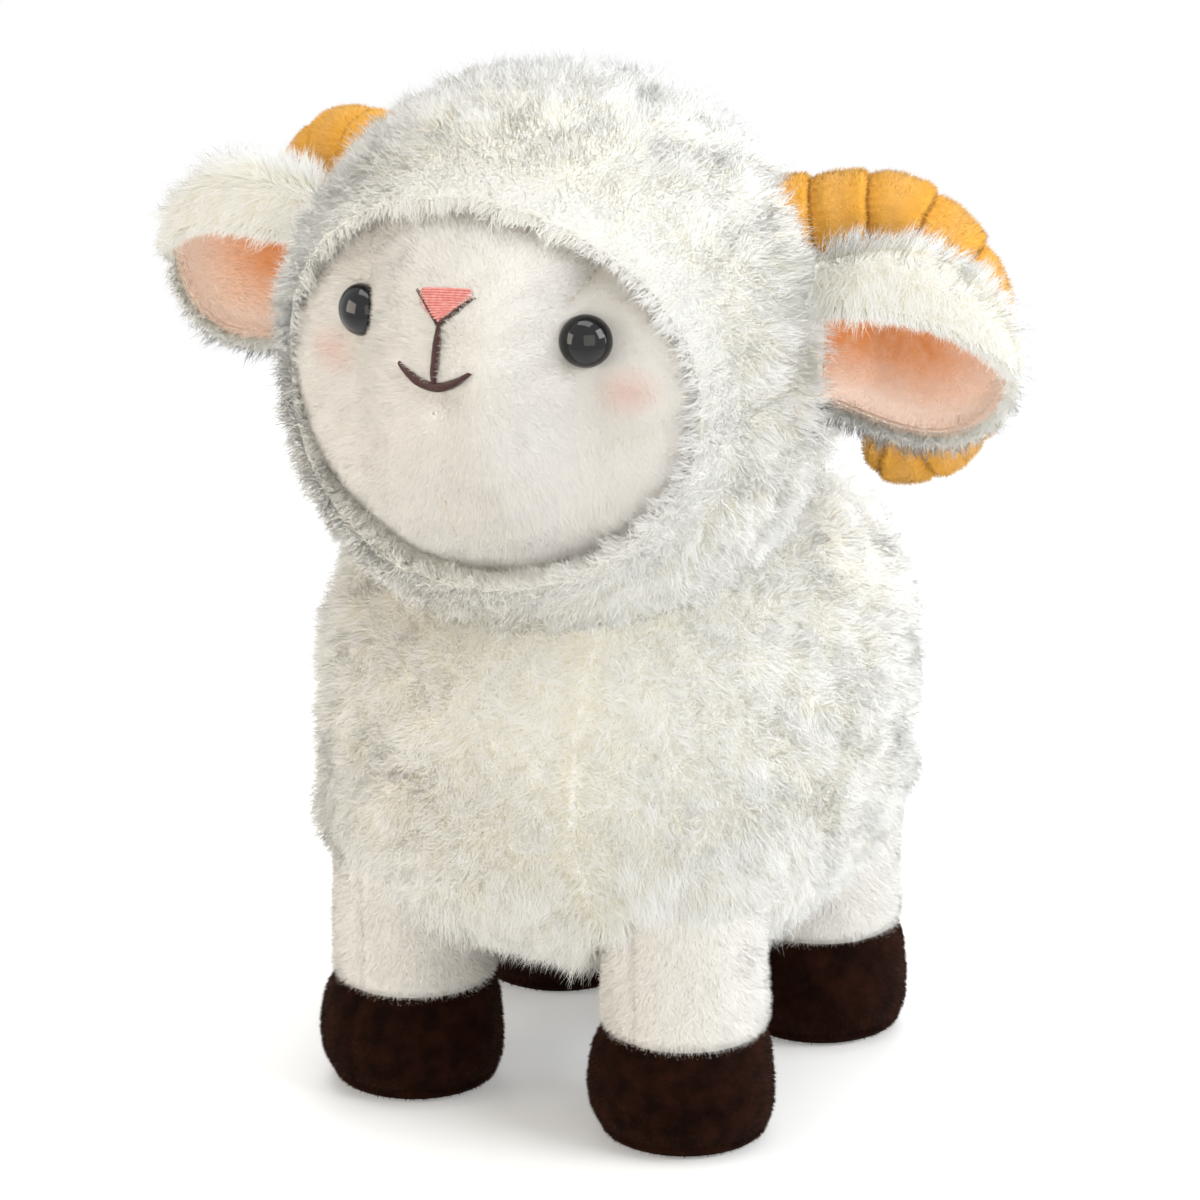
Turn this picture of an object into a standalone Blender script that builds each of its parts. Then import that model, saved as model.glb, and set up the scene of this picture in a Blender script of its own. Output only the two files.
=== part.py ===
"""Plush sheep, built from the pieces it is sewn from.

Metres, +Z up. The sheep stands on Z = 0 and faces -Y, and its own left side is at +X.
Covers are shells of fabric and pile, and the fibre filling inside them is a solid of its own.
"""
import bpy
import bmesh
from math import cos, pi, radians, sin, tan
from mathutils import Matrix, Vector
from mathutils.bvhtree import BVHTree

# Clearances and mesh settings shared by all pieces
GAP = 0.0003
MERGE_DISTANCE = 0.00001
OVERRUN = 0.01
LEG_STEPS = 14
SMALL_STEPS = 12
DISH_STEPS = 28
SKIN_CUTS = 3
FACE_CUTS = 7
FILLING_CUTS = SKIN_CUTS - 1

# Torso
BODY_HALF_WIDTH = 0.0685
BODY_HALF_LENGTH = 0.0845
BODY_HALF_HEIGHT = 0.064
BODY_FULLNESS = 2.5
BELLY_HEIGHT = 0.030
BODY_FUR = 0.012

# Head and hood
HEAD_HALF_WIDTH = 0.0653
HEAD_HALF_DEPTH = 0.0643
HEAD_HALF_HEIGHT = 0.067
HEAD_FULLNESS = 2.0
HEAD_FORWARD = 0.032
HEAD_SINK = 0.042
HEAD_FUR = 0.012
NECK_RADIUS = 0.026
NECK_TILT = radians(19)

# Short-pile face, sewn in behind the fur rim of the hood
FACE_HALF_WIDTH = 0.0515
FACE_HALF_HEIGHT = 0.0435
FACE_HALF_DEPTH = 0.0325
FACE_SETBACK = 0.0378
FACE_RISE = 0.0015
FACE_FULLNESS = 2.0
FACE_WALL = 0.0025
FACE_SEAM_DEPTH = 0.001
RIM_FLARE = 0.004
MUZZLE_TOP_SHARE = 0.25
MUZZLE_FOOT_SHARE = 0.56
CHEEK_DROP_SHARE = 0.49

# Safety eyes with shanks, and the washers that lock them
EYE_RADIUS = 0.006
EYE_HEIGHT = 0.0048
EYE_EDGE = 0.0009
EYE_SPREAD = 0.0278
EYE_RISE = 0.0155
EYE_SINK = 0.0006
SHANK_RADIUS = 0.002
SHANK_LENGTH = 0.012
WASHER_RADIUS = 0.0062
WASHER_THICKNESS = 0.0012
WASHER_DISH = 0.0012

# Embroidery on the face
NOSE_HALF_WIDTH = 0.0060
NOSE_HALF_HEIGHT = 0.0024
NOSE_RISE = 0.0238
NOSE_PAD = 0.0009
NOSE_SHARPNESS = 7
OUTLINE_START = radians(168)
OUTLINE_END = radians(372)
THREAD_RADIUS = 0.0005
MOUTH_RADIUS = 0.0008
MOUTH_DROP = 0.0134
SMILE_HALF_WIDTH = 0.0086
SMILE_RISE = 0.0038

# Ears
EAR_BACK = 0.004
EAR_RISE = 0.012
EAR_SINK = 0.002
EAR_ROOT_RADIUS = 0.0067
EAR_ROOT_HALF_LENGTH = 0.017
EAR_START = 0.0028
EAR_LENGTH = 0.0436
EAR_HALF_HEIGHT = 0.0205
EAR_CUP = 0.0095
EAR_CUP_RUN = 0.0145
EAR_WALL = 0.003
EAR_LINING_WALL = 0.002
EAR_SWEEP = radians(8)
EAR_DROOP = 0.005
EAR_UPPER_CURL = radians(150)
EAR_LOWER_CURL = radians(84)
EAR_BASE_SHARE = 0.76
EAR_BLUNTNESS = 6
EAR_FIRST_PLACE = 0.04
EAR_LAST_PLACE = 0.985
EAR_ROWS = 10
EAR_COLUMNS = 12
LINING_FIRST_ROW = 2

# Curled horns with sewn ridges
HORN_RADIUS = 0.0089
HORN_WALL = 0.0018
HORN_OUT = 0.064
HORN_INSET = 0.0383
HORN_RISE = 0.0065
HORN_CURL_HALF_WIDTH = 0.020
HORN_CURL_HALF_HEIGHT = 0.0281
HORN_OUT_DRIFT = 0.008
HORN_BACK_DRIFT = 0.009
HORN_SWEEP = radians(17)
HORN_TOP_ANGLE = radians(98)
HORN_TIP_ANGLE = radians(-100)
HORN_ROOT_SHARE = 0.2
HORN_ROOT_RUN = 0.022
HORN_RIDGES = 9
HORN_RIDGE_SHARES = ((0.0, 0.88), (0.22, 1.0), (0.66, 1.04))
HORN_THICK_SHARE = 1.06
HORN_THIN_SHARE = 0.82
HORN_CAP_SHARES = ((0.45, 0.86), (0.85, 0.55))
HORN_CORE_POINTS = 16

# Legs and hooves
LEG_SPREAD = 0.036
LEG_REACH = 0.0375
HIP_HEIGHT = 0.068
LEG_SWING = radians(10)
HIP_RADIUS = 0.0196
LEG_WAIST_RADIUS = 0.0189
LEG_RADIUS = 0.0193
LEG_WALL = 0.0022
LEG_OPEN_ANGLE = radians(42)
HOOF_HEIGHT = 0.027
HOOF_RADIUS = 0.0217
HOOF_WALL = 0.002
HOOF_BULGE_SHARES = ((0.00, 0.00), (0.22, 0.66), (0.55, 1.00), (0.82, 0.82), (1.00, 0.38))
SOLE_SEAM_HEIGHT = 0.0042
SOLE_RADIUS = 0.0160
SOLE_WALL = 0.0020

# Tail
TAIL_HEIGHT = 0.112
TAIL_ROOT_RADIUS = 0.0062
TAIL_RADIUS = 0.0105
TAIL_LENGTH = 0.030
TAIL_TILT = radians(72)
TAIL_ROOT_END = radians(140)
TAIL_SHARES = ((0.34, 0.50), (0.45, 0.84), (0.60, 1.00), (0.79, 0.88), (0.93, 0.52))

# Places worked out from the sizes above
BODY_CENTRE = Vector((0, 0, BELLY_HEIGHT + BODY_HALF_HEIGHT))
HEAD_CENTRE = BODY_CENTRE + Vector((0, -HEAD_FORWARD, BODY_HALF_HEIGHT + HEAD_HALF_HEIGHT - HEAD_SINK))
FACE_CENTRE = HEAD_CENTRE + Vector((0, FACE_SETBACK - HEAD_HALF_DEPTH, FACE_RISE))
FAR = 4 * (BODY_HALF_LENGTH + HEAD_HALF_DEPTH)
OUTLINE_SPREAD = THREAD_RADIUS + 2 * GAP
TOWARD_FRONT = Vector((0, -1, 0))

# Colours, from the photograph
LOOKS = {
    "long_fur": ((0.93, 0.92, 0.86), 0.95),
    "short_fur": ((0.93, 0.90, 0.86), 0.90),
    "filling": ((0.95, 0.95, 0.93), 1.00),
    "ear_pink": ((0.86, 0.60, 0.48), 0.90),
    "horn_tan": ((0.80, 0.46, 0.14), 0.85),
    "hoof_brown": ((0.060, 0.014, 0.007), 0.80),
    "eye_black": ((0.004, 0.004, 0.005), 0.08),
    "washer_white": ((0.80, 0.80, 0.78), 0.45),
    "nose_pink": ((0.80, 0.25, 0.22), 0.60),
    "thread_brown": ((0.060, 0.010, 0.006), 0.60),
}


def make_collection(name):
    """A new collection in the scene."""
    group = bpy.data.collections.new(name)
    bpy.context.scene.collection.children.link(group)
    return group


def make_material(name, colour, roughness):
    """A plain Principled material."""
    look = bpy.data.materials.new(name)
    look.use_nodes = True
    shader = look.node_tree.nodes["Principled BSDF"]
    shader.inputs["Base Color"].default_value = (*colour, 1)
    shader.inputs["Roughness"].default_value = roughness
    shader.inputs["Metallic"].default_value = 0
    return look


for old in list(bpy.data.objects):
    bpy.data.objects.remove(old, do_unlink=True)

PARTS = make_collection("plush_sheep")
CUTTERS = make_collection("cutters")
MATERIALS = {name: make_material(name, *values) for name, values in LOOKS.items()}


def make_empty(name, place, parent=None):
    """An empty that stands for a joint or for the whole toy."""
    empty = bpy.data.objects.new(name, None)
    empty.empty_display_size = HIP_RADIUS
    empty.location = place
    empty.parent = parent
    PARTS.objects.link(empty)
    return empty


SHEEP = make_empty("sheep", (0, 0, 0))


def add_piece(name, mesh, look, parent, place=(0, 0, 0), turn=None):
    """One sub-part, in the parts collection."""
    piece = bpy.data.objects.new(name, mesh)
    mesh.materials.clear()
    mesh.materials.append(MATERIALS[look])
    mesh.shade_smooth()
    place_object(piece, PARTS, parent, place, turn)
    return piece


def add_cutter(name, mesh, parent, place=(0, 0, 0), turn=None):
    """A solid that only shapes others."""
    cutter = bpy.data.objects.new(name, mesh)
    cutter.hide_render = True
    cutter.display_type = "WIRE"
    place_object(cutter, CUTTERS, parent, place, turn)
    return cutter


def place_object(thing, group, parent, place, turn):
    """Links an object and puts it in its place under its parent."""
    group.objects.link(thing)
    thing.parent = parent
    thing.location = place
    if turn is not None:
        thing.rotation_euler = turn.to_euler()


def combine(thing, other, operation):
    """A live Boolean with the exact solver."""
    step = thing.modifiers.new(other.name, "BOOLEAN")
    step.operation = operation
    step.solver = "EXACT"
    step.object = other


def cut(thing, *cutters):
    for cutter in cutters:
        combine(thing, cutter, "DIFFERENCE")


def join(thing, *others):
    for other in others:
        combine(thing, other, "UNION")


def smooth_cage(thing, levels):
    """Subdivision, the same in the viewport and in a render."""
    if levels:
        step = thing.modifiers.new("smooth", "SUBSURF")
        step.levels = levels
        step.render_levels = levels


def offset_skin(thing, distance):
    """Moves the skin along its normals: out for a positive distance, in for a negative one."""
    if distance:
        step = thing.modifiers.new("offset", "DISPLACE")
        step.direction = "NORMAL"
        step.mid_level = 0
        step.strength = distance


def evaluated_points(thing):
    """World places of the evaluated mesh's vertices."""
    bpy.context.view_layer.update()
    shown = thing.evaluated_get(bpy.context.evaluated_depsgraph_get())
    return [shown.matrix_world @ vert.co for vert in shown.data.vertices]


def soft_cage(name, half_sizes, fullness, cuts, levels, mould=None):
    """A coarse cage whose smoothed form has these half sizes. The fullness is 2 for an ellipsoid."""
    cage = bmesh.new()
    bmesh.ops.create_cube(cage, size=2)
    bmesh.ops.subdivide_edges(cage, edges=cage.edges[:], cuts=cuts, use_grid_fill=True)
    for vert in cage.verts:
        ray = Vector([tan(share * pi / 4) for share in vert.co]).normalized()
        across = (abs(ray.x) ** fullness + abs(ray.z) ** fullness) ** (2 / fullness)
        unit = ray / (across + ray.y**2) ** 0.5
        vert.co = mould(unit) if mould else unit
    if not levels:
        bmesh.ops.triangulate(cage, faces=cage.faces[:])
    mesh = bpy.data.meshes.new(name)
    cage.to_mesh(mesh)
    cage.free()
    mesh["smooth_levels"] = levels
    trial = add_cutter(name + "_trial", mesh, None)
    smooth_cage(trial, levels)
    points = evaluated_points(trial)
    for axis in range(3):
        low = min(point[axis] for point in points)
        high = max(point[axis] for point in points)
        scale = 2 * half_sizes[axis] / (high - low)
        for vert in mesh.vertices:
            vert.co[axis] = (vert.co[axis] - (low + high) / 2) * scale
    bpy.data.objects.remove(trial, do_unlink=True)
    return mesh


def soft_cutter(name, cage, centre, distance):
    """The smoothed cage as a cutter, moved in or out along its normals."""
    cutter = add_cutter(name, cage, SHEEP, centre)
    smooth_cage(cutter, cage["smooth_levels"])
    offset_skin(cutter, distance)
    return cutter


def soft_piece(name, cage, look, parent, place, distance=0.0):
    """The smoothed cage as a sub-part, moved in or out along its normals."""
    piece = add_piece(name, cage.copy(), look, parent, place)
    smooth_cage(piece, cage["smooth_levels"])
    offset_skin(piece, distance)
    return piece


def profile_mesh(name, profile, closed):
    """The profile of a turned piece, as (radius, height) points down its outer side."""
    count = len(profile)
    edges = [(index, index + 1) for index in range(count - 1)]
    if closed:
        edges.append((count - 1, 0))
    mesh = bpy.data.meshes.new(name)
    mesh.from_pydata([(radius, 0, height) for radius, height in profile], edges, [])
    return mesh


def turn_profile(thing, steps):
    """Turns the profile once round the local Z axis."""
    step = thing.modifiers.new("turn", "SCREW")
    step.axis = "Z"
    step.angle = 2 * pi
    step.steps = steps
    step.render_steps = steps
    step.use_merge_vertices = True
    step.merge_threshold = MERGE_DISTANCE
    step.use_smooth_shade = True


def turned_piece(name, profile, look, parent, place=(0, 0, 0), turn=None, steps=LEG_STEPS, ring=False):
    piece = add_piece(name, profile_mesh(name, profile, ring), look, parent, place, turn)
    turn_profile(piece, steps)
    return piece


def turned_cutter(name, profile, parent, place=(0, 0, 0), turn=None, steps=LEG_STEPS):
    cutter = add_cutter(name, profile_mesh(name, profile, False), parent, place, turn)
    turn_profile(cutter, steps)
    return cutter


def arc(radius, start, end, count):
    """Points of a circle about the origin, by their angle from the top."""
    angles = [start + (end - start) * index / (count - 1) for index in range(count)]
    return [(radius * sin(angle), radius * cos(angle)) for angle in angles]


def around(radius, steps, arc_step):
    """The radius at which a faceted ball clears a ball of the given radius all over."""
    return radius / (cos(pi / steps) * cos(arc_step / 2))


def axis_turn(direction):
    """The rotation that takes +Z to a direction."""
    return direction.to_track_quat("Z", "Y").to_matrix()


def surface_of(thing):
    """A search tree of an evaluated surface, in world coordinates."""
    bpy.context.view_layer.update()
    shown = thing.evaluated_get(bpy.context.evaluated_depsgraph_get())
    points = [shown.matrix_world @ vert.co for vert in shown.data.vertices]
    return BVHTree.FromPolygons(points, [tuple(face.vertices) for face in shown.data.polygons])


def seat(surface, start, direction):
    """Where a ray first meets a surface, and the outward normal there."""
    point, normal, _, _ = surface.ray_cast(start, direction)
    return point, normal


def tube_mesh(name, points, radii, resolution):
    """A closed tube through the points, from a bevelled curve with welded caps."""
    curve = bpy.data.curves.new(name, "CURVE")
    curve.dimensions = "3D"
    curve.bevel_depth = max(radii)
    curve.bevel_resolution = resolution
    curve.use_fill_caps = True
    spline = curve.splines.new("POLY")
    spline.points.add(len(points) - 1)
    for knot, point, radius in zip(spline.points, points, radii):
        knot.co = (*point, 1)
        knot.radius = radius / curve.bevel_depth
    wire = bpy.data.objects.new(name + "_wire", curve)
    CUTTERS.objects.link(wire)
    bpy.context.view_layer.update()
    shown = wire.evaluated_get(bpy.context.evaluated_depsgraph_get())
    mesh = bpy.data.meshes.new_from_object(shown)
    bpy.data.objects.remove(wire, do_unlink=True)
    welded = bmesh.new()
    welded.from_mesh(mesh)
    bmesh.ops.remove_doubles(welded, verts=welded.verts[:], dist=MERGE_DISTANCE)
    bmesh.ops.recalc_face_normals(welded, faces=welded.faces[:])
    welded.to_mesh(mesh)
    welded.free()
    return mesh


# Forms that several pieces share
def narrow_cheeks(unit):
    """Leaves a rounded muzzle down the middle of the face, and sets the cheeks back beside it."""
    if unit.y >= 0:
        return unit
    beside = (abs(unit.x) - MUZZLE_TOP_SHARE) / (MUZZLE_FOOT_SHARE - MUZZLE_TOP_SHARE)
    beside = min(max(beside, 0), 1)
    eased = beside * beside * (3 - 2 * beside)
    return Vector((unit.x, unit.y * (1 - CHEEK_DROP_SHARE * eased), unit.z))


BODY_SIZES = Vector((BODY_HALF_WIDTH, BODY_HALF_LENGTH, BODY_HALF_HEIGHT))
HEAD_SIZES = Vector((HEAD_HALF_WIDTH, HEAD_HALF_DEPTH, HEAD_HALF_HEIGHT))
FACE_SIZES = Vector((FACE_HALF_WIDTH, FACE_HALF_DEPTH, FACE_HALF_HEIGHT))
BODY_CORE_SIZES = BODY_SIZES - Vector([BODY_FUR] * 3)
HEAD_CORE_SIZES = HEAD_SIZES - Vector([HEAD_FUR] * 3)
BODY_CAGE = soft_cage("body_cage", BODY_SIZES, BODY_FULLNESS, SKIN_CUTS, 1)
BODY_CORE_CAGE = soft_cage("body_core_cage", BODY_CORE_SIZES, BODY_FULLNESS, FILLING_CUTS, 1)
HEAD_CAGE = soft_cage("head_cage", HEAD_SIZES, HEAD_FULLNESS, SKIN_CUTS, 1)
HEAD_CORE_CAGE = soft_cage("head_core_cage", HEAD_CORE_SIZES, HEAD_FULLNESS, FILLING_CUTS, 1)
FACE_CAGE = soft_cage("face_cage", FACE_SIZES, FACE_FULLNESS, FACE_CUTS, 0, narrow_cheeks)


def head_skin_cutter():
    """The head's outer form, grown by the gap, for what is sewn on top of it."""
    return soft_cutter("head_skin", HEAD_CAGE, HEAD_CENTRE, GAP)


def neck_dish_cutter():
    """The ball that the head turns in, clear of every point of the head's lower half."""
    trial = soft_cutter("head_reach", HEAD_CAGE, HEAD_CENTRE, 0)
    low = [point - HEAD_CENTRE for point in evaluated_points(trial) if point.z < HEAD_CENTRE.z]
    reach = max(offset.length for offset in low)
    bpy.data.objects.remove(trial, do_unlink=True)
    arc_step = 2 * pi / DISH_STEPS
    radius = around(reach + GAP, DISH_STEPS, arc_step)
    profile = arc(radius, 0, pi, DISH_STEPS // 2 + 1)
    return turned_cutter("neck_dish", closed_on_axis(profile), SHEEP, HEAD_CENTRE, steps=DISH_STEPS)


def closed_on_axis(profile):
    """The same points with both ends exactly on the axis."""
    return [(0, profile[0][1])] + profile[1:-1] + [(0, profile[-1][1])]


def hip_well_cutter(name, hip):
    """The socket of one leg: a ball with a skirt that flares by the leg's swing."""
    count = 6
    flare = LEG_SWING
    arc_step = (pi / 2 - flare) / (count - 1)
    radius = around(HIP_RADIUS + GAP, LEG_STEPS, arc_step)
    profile = arc(radius, 0, pi / 2 - flare, count)
    depth = HIP_HEIGHT + OVERRUN
    skirt = radius * cos(flare) + (radius * sin(flare) + depth) * tan(flare)
    return turned_cutter(name, closed_on_axis(profile + [(skirt, -depth), (0, -depth)]), hip)


def root_socket_cutter(name, pivot, radius, half_length):
    """The socket of an ear: a spindle about the upright hinge axis."""
    count = SMALL_STEPS // 2 + 1
    grown = around(radius + GAP, SMALL_STEPS, pi / (count - 1))
    stretch = (half_length + GAP) / (radius + GAP)
    profile = [(r, z * stretch) for r, z in arc(grown, 0, pi, count)]
    return turned_cutter(name, closed_on_axis(profile), pivot, steps=SMALL_STEPS)


# Torso
def build_body(wells, dish, tail_socket):
    """The long-pile cover and the filling inside it."""
    cover = soft_piece("body_cover", BODY_CAGE, "long_fur", SHEEP, BODY_CENTRE)
    inside = soft_cutter("body_inside", BODY_CORE_CAGE, BODY_CENTRE, 0)
    filling = soft_piece("body_stuffing", BODY_CORE_CAGE, "filling", SHEEP, BODY_CENTRE, -GAP)
    cut(cover, inside, dish, *wells, tail_socket)
    cut(filling, dish, *wells)


# Head
def face_column_cutter(name, clearance):
    """Everything in front of the face's seam, inside the fur rim of the hood."""
    depth = HEAD_HALF_DEPTH
    facet = 1 / cos(pi / DISH_STEPS)
    mesh = bpy.data.meshes.new(name)
    column = bmesh.new()
    bmesh.ops.create_cone(
        column,
        cap_ends=True,
        segments=DISH_STEPS,
        radius1=1,
        radius2=1 + RIM_FLARE / FACE_HALF_WIDTH,
        depth=1,
    )
    for vert in column.verts:
        vert.co.x *= (FACE_HALF_WIDTH + clearance) * facet
        vert.co.y *= (FACE_HALF_HEIGHT + clearance) * facet
        vert.co.z = (vert.co.z + 1 / 2) * depth
    column.to_mesh(mesh)
    column.free()
    turn = Matrix.Rotation(pi / 2, 3, "X")
    place = FACE_CENTRE + Vector((0, FACE_SEAM_DEPTH + clearance, 0))
    return add_cutter(name, mesh, SHEEP, place, turn)


def build_head(head, ear_sockets):
    """The hood, the face sewn into it and the filling that pushes both out."""
    hood = soft_piece("head_cover", HEAD_CAGE, "long_fur", head, (0, 0, 0))
    head_inside = soft_cutter("head_inside", HEAD_CORE_CAGE, HEAD_CENTRE, 0)
    column = face_column_cutter("face_column", GAP)
    face_skin = soft_cutter("face_skin", FACE_CAGE, FACE_CENTRE, GAP)
    neck_turn = axis_turn(Vector((0, -sin(NECK_TILT), cos(NECK_TILT))))
    neck_end = -HEAD_HALF_HEIGHT - OVERRUN
    profile = [(0, 0), (NECK_RADIUS, 0), (NECK_RADIUS, neck_end), (0, neck_end)]
    neck_hole = turned_cutter("neck_hole", profile, SHEEP, HEAD_CENTRE, neck_turn, steps=DISH_STEPS)
    cut(hood, head_inside, column, face_skin, neck_hole, *ear_sockets)

    panel = soft_piece("face_panel", FACE_CAGE, "short_fur", head, FACE_CENTRE - HEAD_CENTRE)
    face_inside = soft_cutter("face_inside", FACE_CAGE, FACE_CENTRE, -FACE_WALL)
    behind = turned_cutter(
        "behind_face",
        [(0, 0), (FAR, 0), (FAR, -FAR), (0, -FAR)],
        SHEEP,
        FACE_CENTRE + Vector((0, FACE_SEAM_DEPTH, 0)),
        axis_turn(TOWARD_FRONT),
        steps=SMALL_STEPS,
    )
    cut(panel, face_inside, behind)

    filling = soft_piece("head_stuffing", HEAD_CORE_CAGE, "filling", head, (0, 0, 0), -GAP)
    face_core = soft_cutter("face_core", FACE_CAGE, FACE_CENTRE, -FACE_WALL - GAP)
    plug_radius = NECK_RADIUS - GAP
    plug_start = -HEAD_HALF_DEPTH / 3
    plug_end = -((HEAD_HALF_DEPTH**2 - plug_radius**2) ** 0.5)
    profile = [(0, plug_start), (plug_radius, plug_start), (plug_radius, plug_end), (0, plug_end)]
    neck_plug = turned_cutter("neck_plug", profile, SHEEP, HEAD_CENTRE, neck_turn, steps=DISH_STEPS)
    cut(filling, column)
    join(filling, face_core, neck_plug)
    cut(filling, *ear_sockets)
    return panel, filling


def eye_profile(clearance):
    """An eye from the top of its dome down to the end of its shank, seen from the side."""
    radius = EYE_RADIUS + clearance
    base = -EYE_SINK - clearance
    dome = [(r, z * EYE_HEIGHT / EYE_RADIUS) for r, z in arc(radius, 0, pi / 2, 7)]
    rim = [(r, z + EYE_EDGE) for r, z in dome]
    shank = SHANK_RADIUS + clearance
    end = -SHANK_LENGTH - clearance
    return closed_on_axis(rim + [(radius, base), (shank, base), (shank, end), (0, end)])


def build_eyes(head, face, panel, filling):
    """Both safety eyes, their washers, and the holes for them."""
    for side, hand in ((1, "left"), (-1, "right")):
        start = FACE_CENTRE + Vector((side * EYE_SPREAD, -FAR, EYE_RISE))
        point, normal = seat(face, start, -TOWARD_FRONT)
        turn = axis_turn(normal)
        place = point - HEAD_CENTRE
        turned_piece("eye_" + hand, eye_profile(0), "eye_black", head, place, turn, SMALL_STEPS)
        cut(panel, turned_cutter("eye_seat_" + hand, eye_profile(GAP), head, place, turn, SMALL_STEPS))
        top = -FACE_WALL - WASHER_DISH
        bottom = top - WASHER_THICKNESS
        bore = SHANK_RADIUS + GAP
        washer = [(WASHER_RADIUS, top), (WASHER_RADIUS, bottom), (bore, bottom), (bore, top)]
        turned_piece("eye_washer_" + hand, washer, "washer_white", head, place, turn, SMALL_STEPS, ring=True)
        pocket = [
            (0, EYE_HEIGHT),
            (WASHER_RADIUS + GAP, EYE_HEIGHT),
            (WASHER_RADIUS + GAP, bottom - GAP),
            (bore, bottom - GAP),
            (bore, -SHANK_LENGTH - GAP),
            (0, -SHANK_LENGTH - GAP),
        ]
        cut(filling, turned_cutter("eye_pocket_" + hand, pocket, head, place, turn, SMALL_STEPS))


def nose_outline_point(angle, grow):
    """A point of the nose's rounded triangle, which points down."""
    edges = (pi / 2, 7 * pi / 6, 11 * pi / 6)
    blunt = sum(max(0, cos(angle - edge)) ** NOSE_SHARPNESS for edge in edges) ** (1 / NOSE_SHARPNESS)
    across = cos(angle) * (NOSE_HALF_WIDTH + grow) / blunt / 3**0.5
    up = sin(angle) * (NOSE_HALF_HEIGHT + grow) / blunt
    return Vector((across, 0, up))


def on_face(face, offset, lift):
    """A point of the embroidery, lifted off the face's surface."""
    point, normal = seat(face, FACE_CENTRE + Vector((offset.x, -FAR, offset.z)), -TOWARD_FRONT)
    return point + normal * lift - HEAD_CENTRE


def build_nose(head, face):
    """The satin-stitched triangle and the dark line along its two lower edges."""
    nose = Vector((0, 0, NOSE_RISE))
    count = 24
    rings = (0.5, 1.0)
    points = [on_face(face, nose, GAP)]
    for share in rings:
        for index in range(count):
            offset = nose_outline_point(2 * pi * index / count, 0) * share
            points.append(on_face(face, nose + offset, GAP))
    faces = [(0, 1 + (index + 1) % count, 1 + index) for index in range(count)]
    for index in range(count):
        nearby = (index + 1) % count
        faces.append((1 + index, 1 + nearby, 1 + count + nearby, 1 + count + index))
    mesh = bpy.data.meshes.new("nose_embroidery")
    mesh.from_pydata(points, [], faces)
    sheet = bmesh.new()
    sheet.from_mesh(mesh)
    bmesh.ops.recalc_face_normals(sheet, faces=sheet.faces[:])
    if sum((face.normal for face in sheet.faces), Vector()).y > 0:
        bmesh.ops.reverse_faces(sheet, faces=sheet.faces[:])
    sheet.to_mesh(mesh)
    sheet.free()
    pad = add_piece("nose_embroidery", mesh, "nose_pink", head)
    step = pad.modifiers.new("stitches", "SOLIDIFY")
    step.thickness = NOSE_PAD
    step.offset = 1

    lift = THREAD_RADIUS + GAP
    knots = 15
    line = []
    for index in range(knots):
        angle = OUTLINE_START + (OUTLINE_END - OUTLINE_START) * index / (knots - 1)
        line.append(on_face(face, nose + nose_outline_point(angle, OUTLINE_SPREAD), lift))
    mesh = tube_mesh("nose_outline", line, [THREAD_RADIUS] * knots, 1)
    add_piece("nose_outline", mesh, "thread_brown", head)


def build_mouth(head, face):
    """The stitched line below the nose, joined to the smile."""
    lift = MOUTH_RADIUS + GAP
    outline_tip = nose_outline_point(3 * pi / 2, OUTLINE_SPREAD).z
    apex = NOSE_RISE + outline_tip - THREAD_RADIUS - lift
    knots = 6
    heights = [apex - MOUTH_DROP * index / (knots - 1) for index in range(knots)]
    stem = [on_face(face, Vector((0, 0, height)), lift) for height in heights]
    stem_mesh = tube_mesh("mouth_stem", stem, [MOUTH_RADIUS] * knots, 1)
    mouth = add_piece("mouth_embroidery", stem_mesh, "thread_brown", head)
    knots = 13
    smile = []
    for index in range(knots):
        share = 2 * index / (knots - 1) - 1
        offset = Vector((share * SMILE_HALF_WIDTH, 0, heights[-1] + SMILE_RISE * share * share))
        smile.append(on_face(face, offset, lift))
    smile_mesh = tube_mesh("smile", smile, [MOUTH_RADIUS] * knots, 1)
    join(mouth, add_cutter("smile", smile_mesh, head))


# Ears
def ear_leaf(name, side, first_row, margin):
    """The open sheet of one ear: a scoop that opens forward, narrow at its root and rounded at its tip."""
    rows = range(first_row, EAR_ROWS - margin)
    columns = range(margin, EAR_COLUMNS - margin)
    points = []
    for row in rows:
        spaced = sin(pi / 2 * row / (EAR_ROWS - 1))
        place = EAR_FIRST_PLACE + (EAR_LAST_PLACE - EAR_FIRST_PLACE) * spaced
        out = EAR_START + EAR_LENGTH * place
        rounding = (1 - place**EAR_BLUNTNESS) ** 0.5
        spread = EAR_BASE_SHARE + (1 - EAR_BASE_SHARE) * sin(pi * place)
        half_height = EAR_HALF_HEIGHT * spread * rounding
        cup = EAR_CUP * rounding * sin(pi / 2 * min(1, out / EAR_CUP_RUN))
        for column in columns:
            share = column / (EAR_COLUMNS - 1)
            angle = (EAR_LOWER_CURL + EAR_UPPER_CURL) * share - EAR_LOWER_CURL
            points.append((side * out, cup * cos(angle), half_height * sin(angle) - EAR_DROOP * place**2))
    faces = []
    per_row = len(columns)
    for row in range(len(rows) - 1):
        for column in range(per_row - 1):
            corner = row * per_row + column
            quad = (corner, corner + per_row, corner + per_row + 1, corner + 1)
            faces.append(quad if side > 0 else quad[::-1])
    mesh = bpy.data.meshes.new(name)
    mesh.from_pydata(points, [], faces)
    return mesh


def thicken(thing, wall):
    """Gives an open sheet its thickness, half on each side."""
    step = thing.modifiers.new("wall", "SOLIDIFY")
    step.thickness = wall
    step.offset = 0


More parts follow.
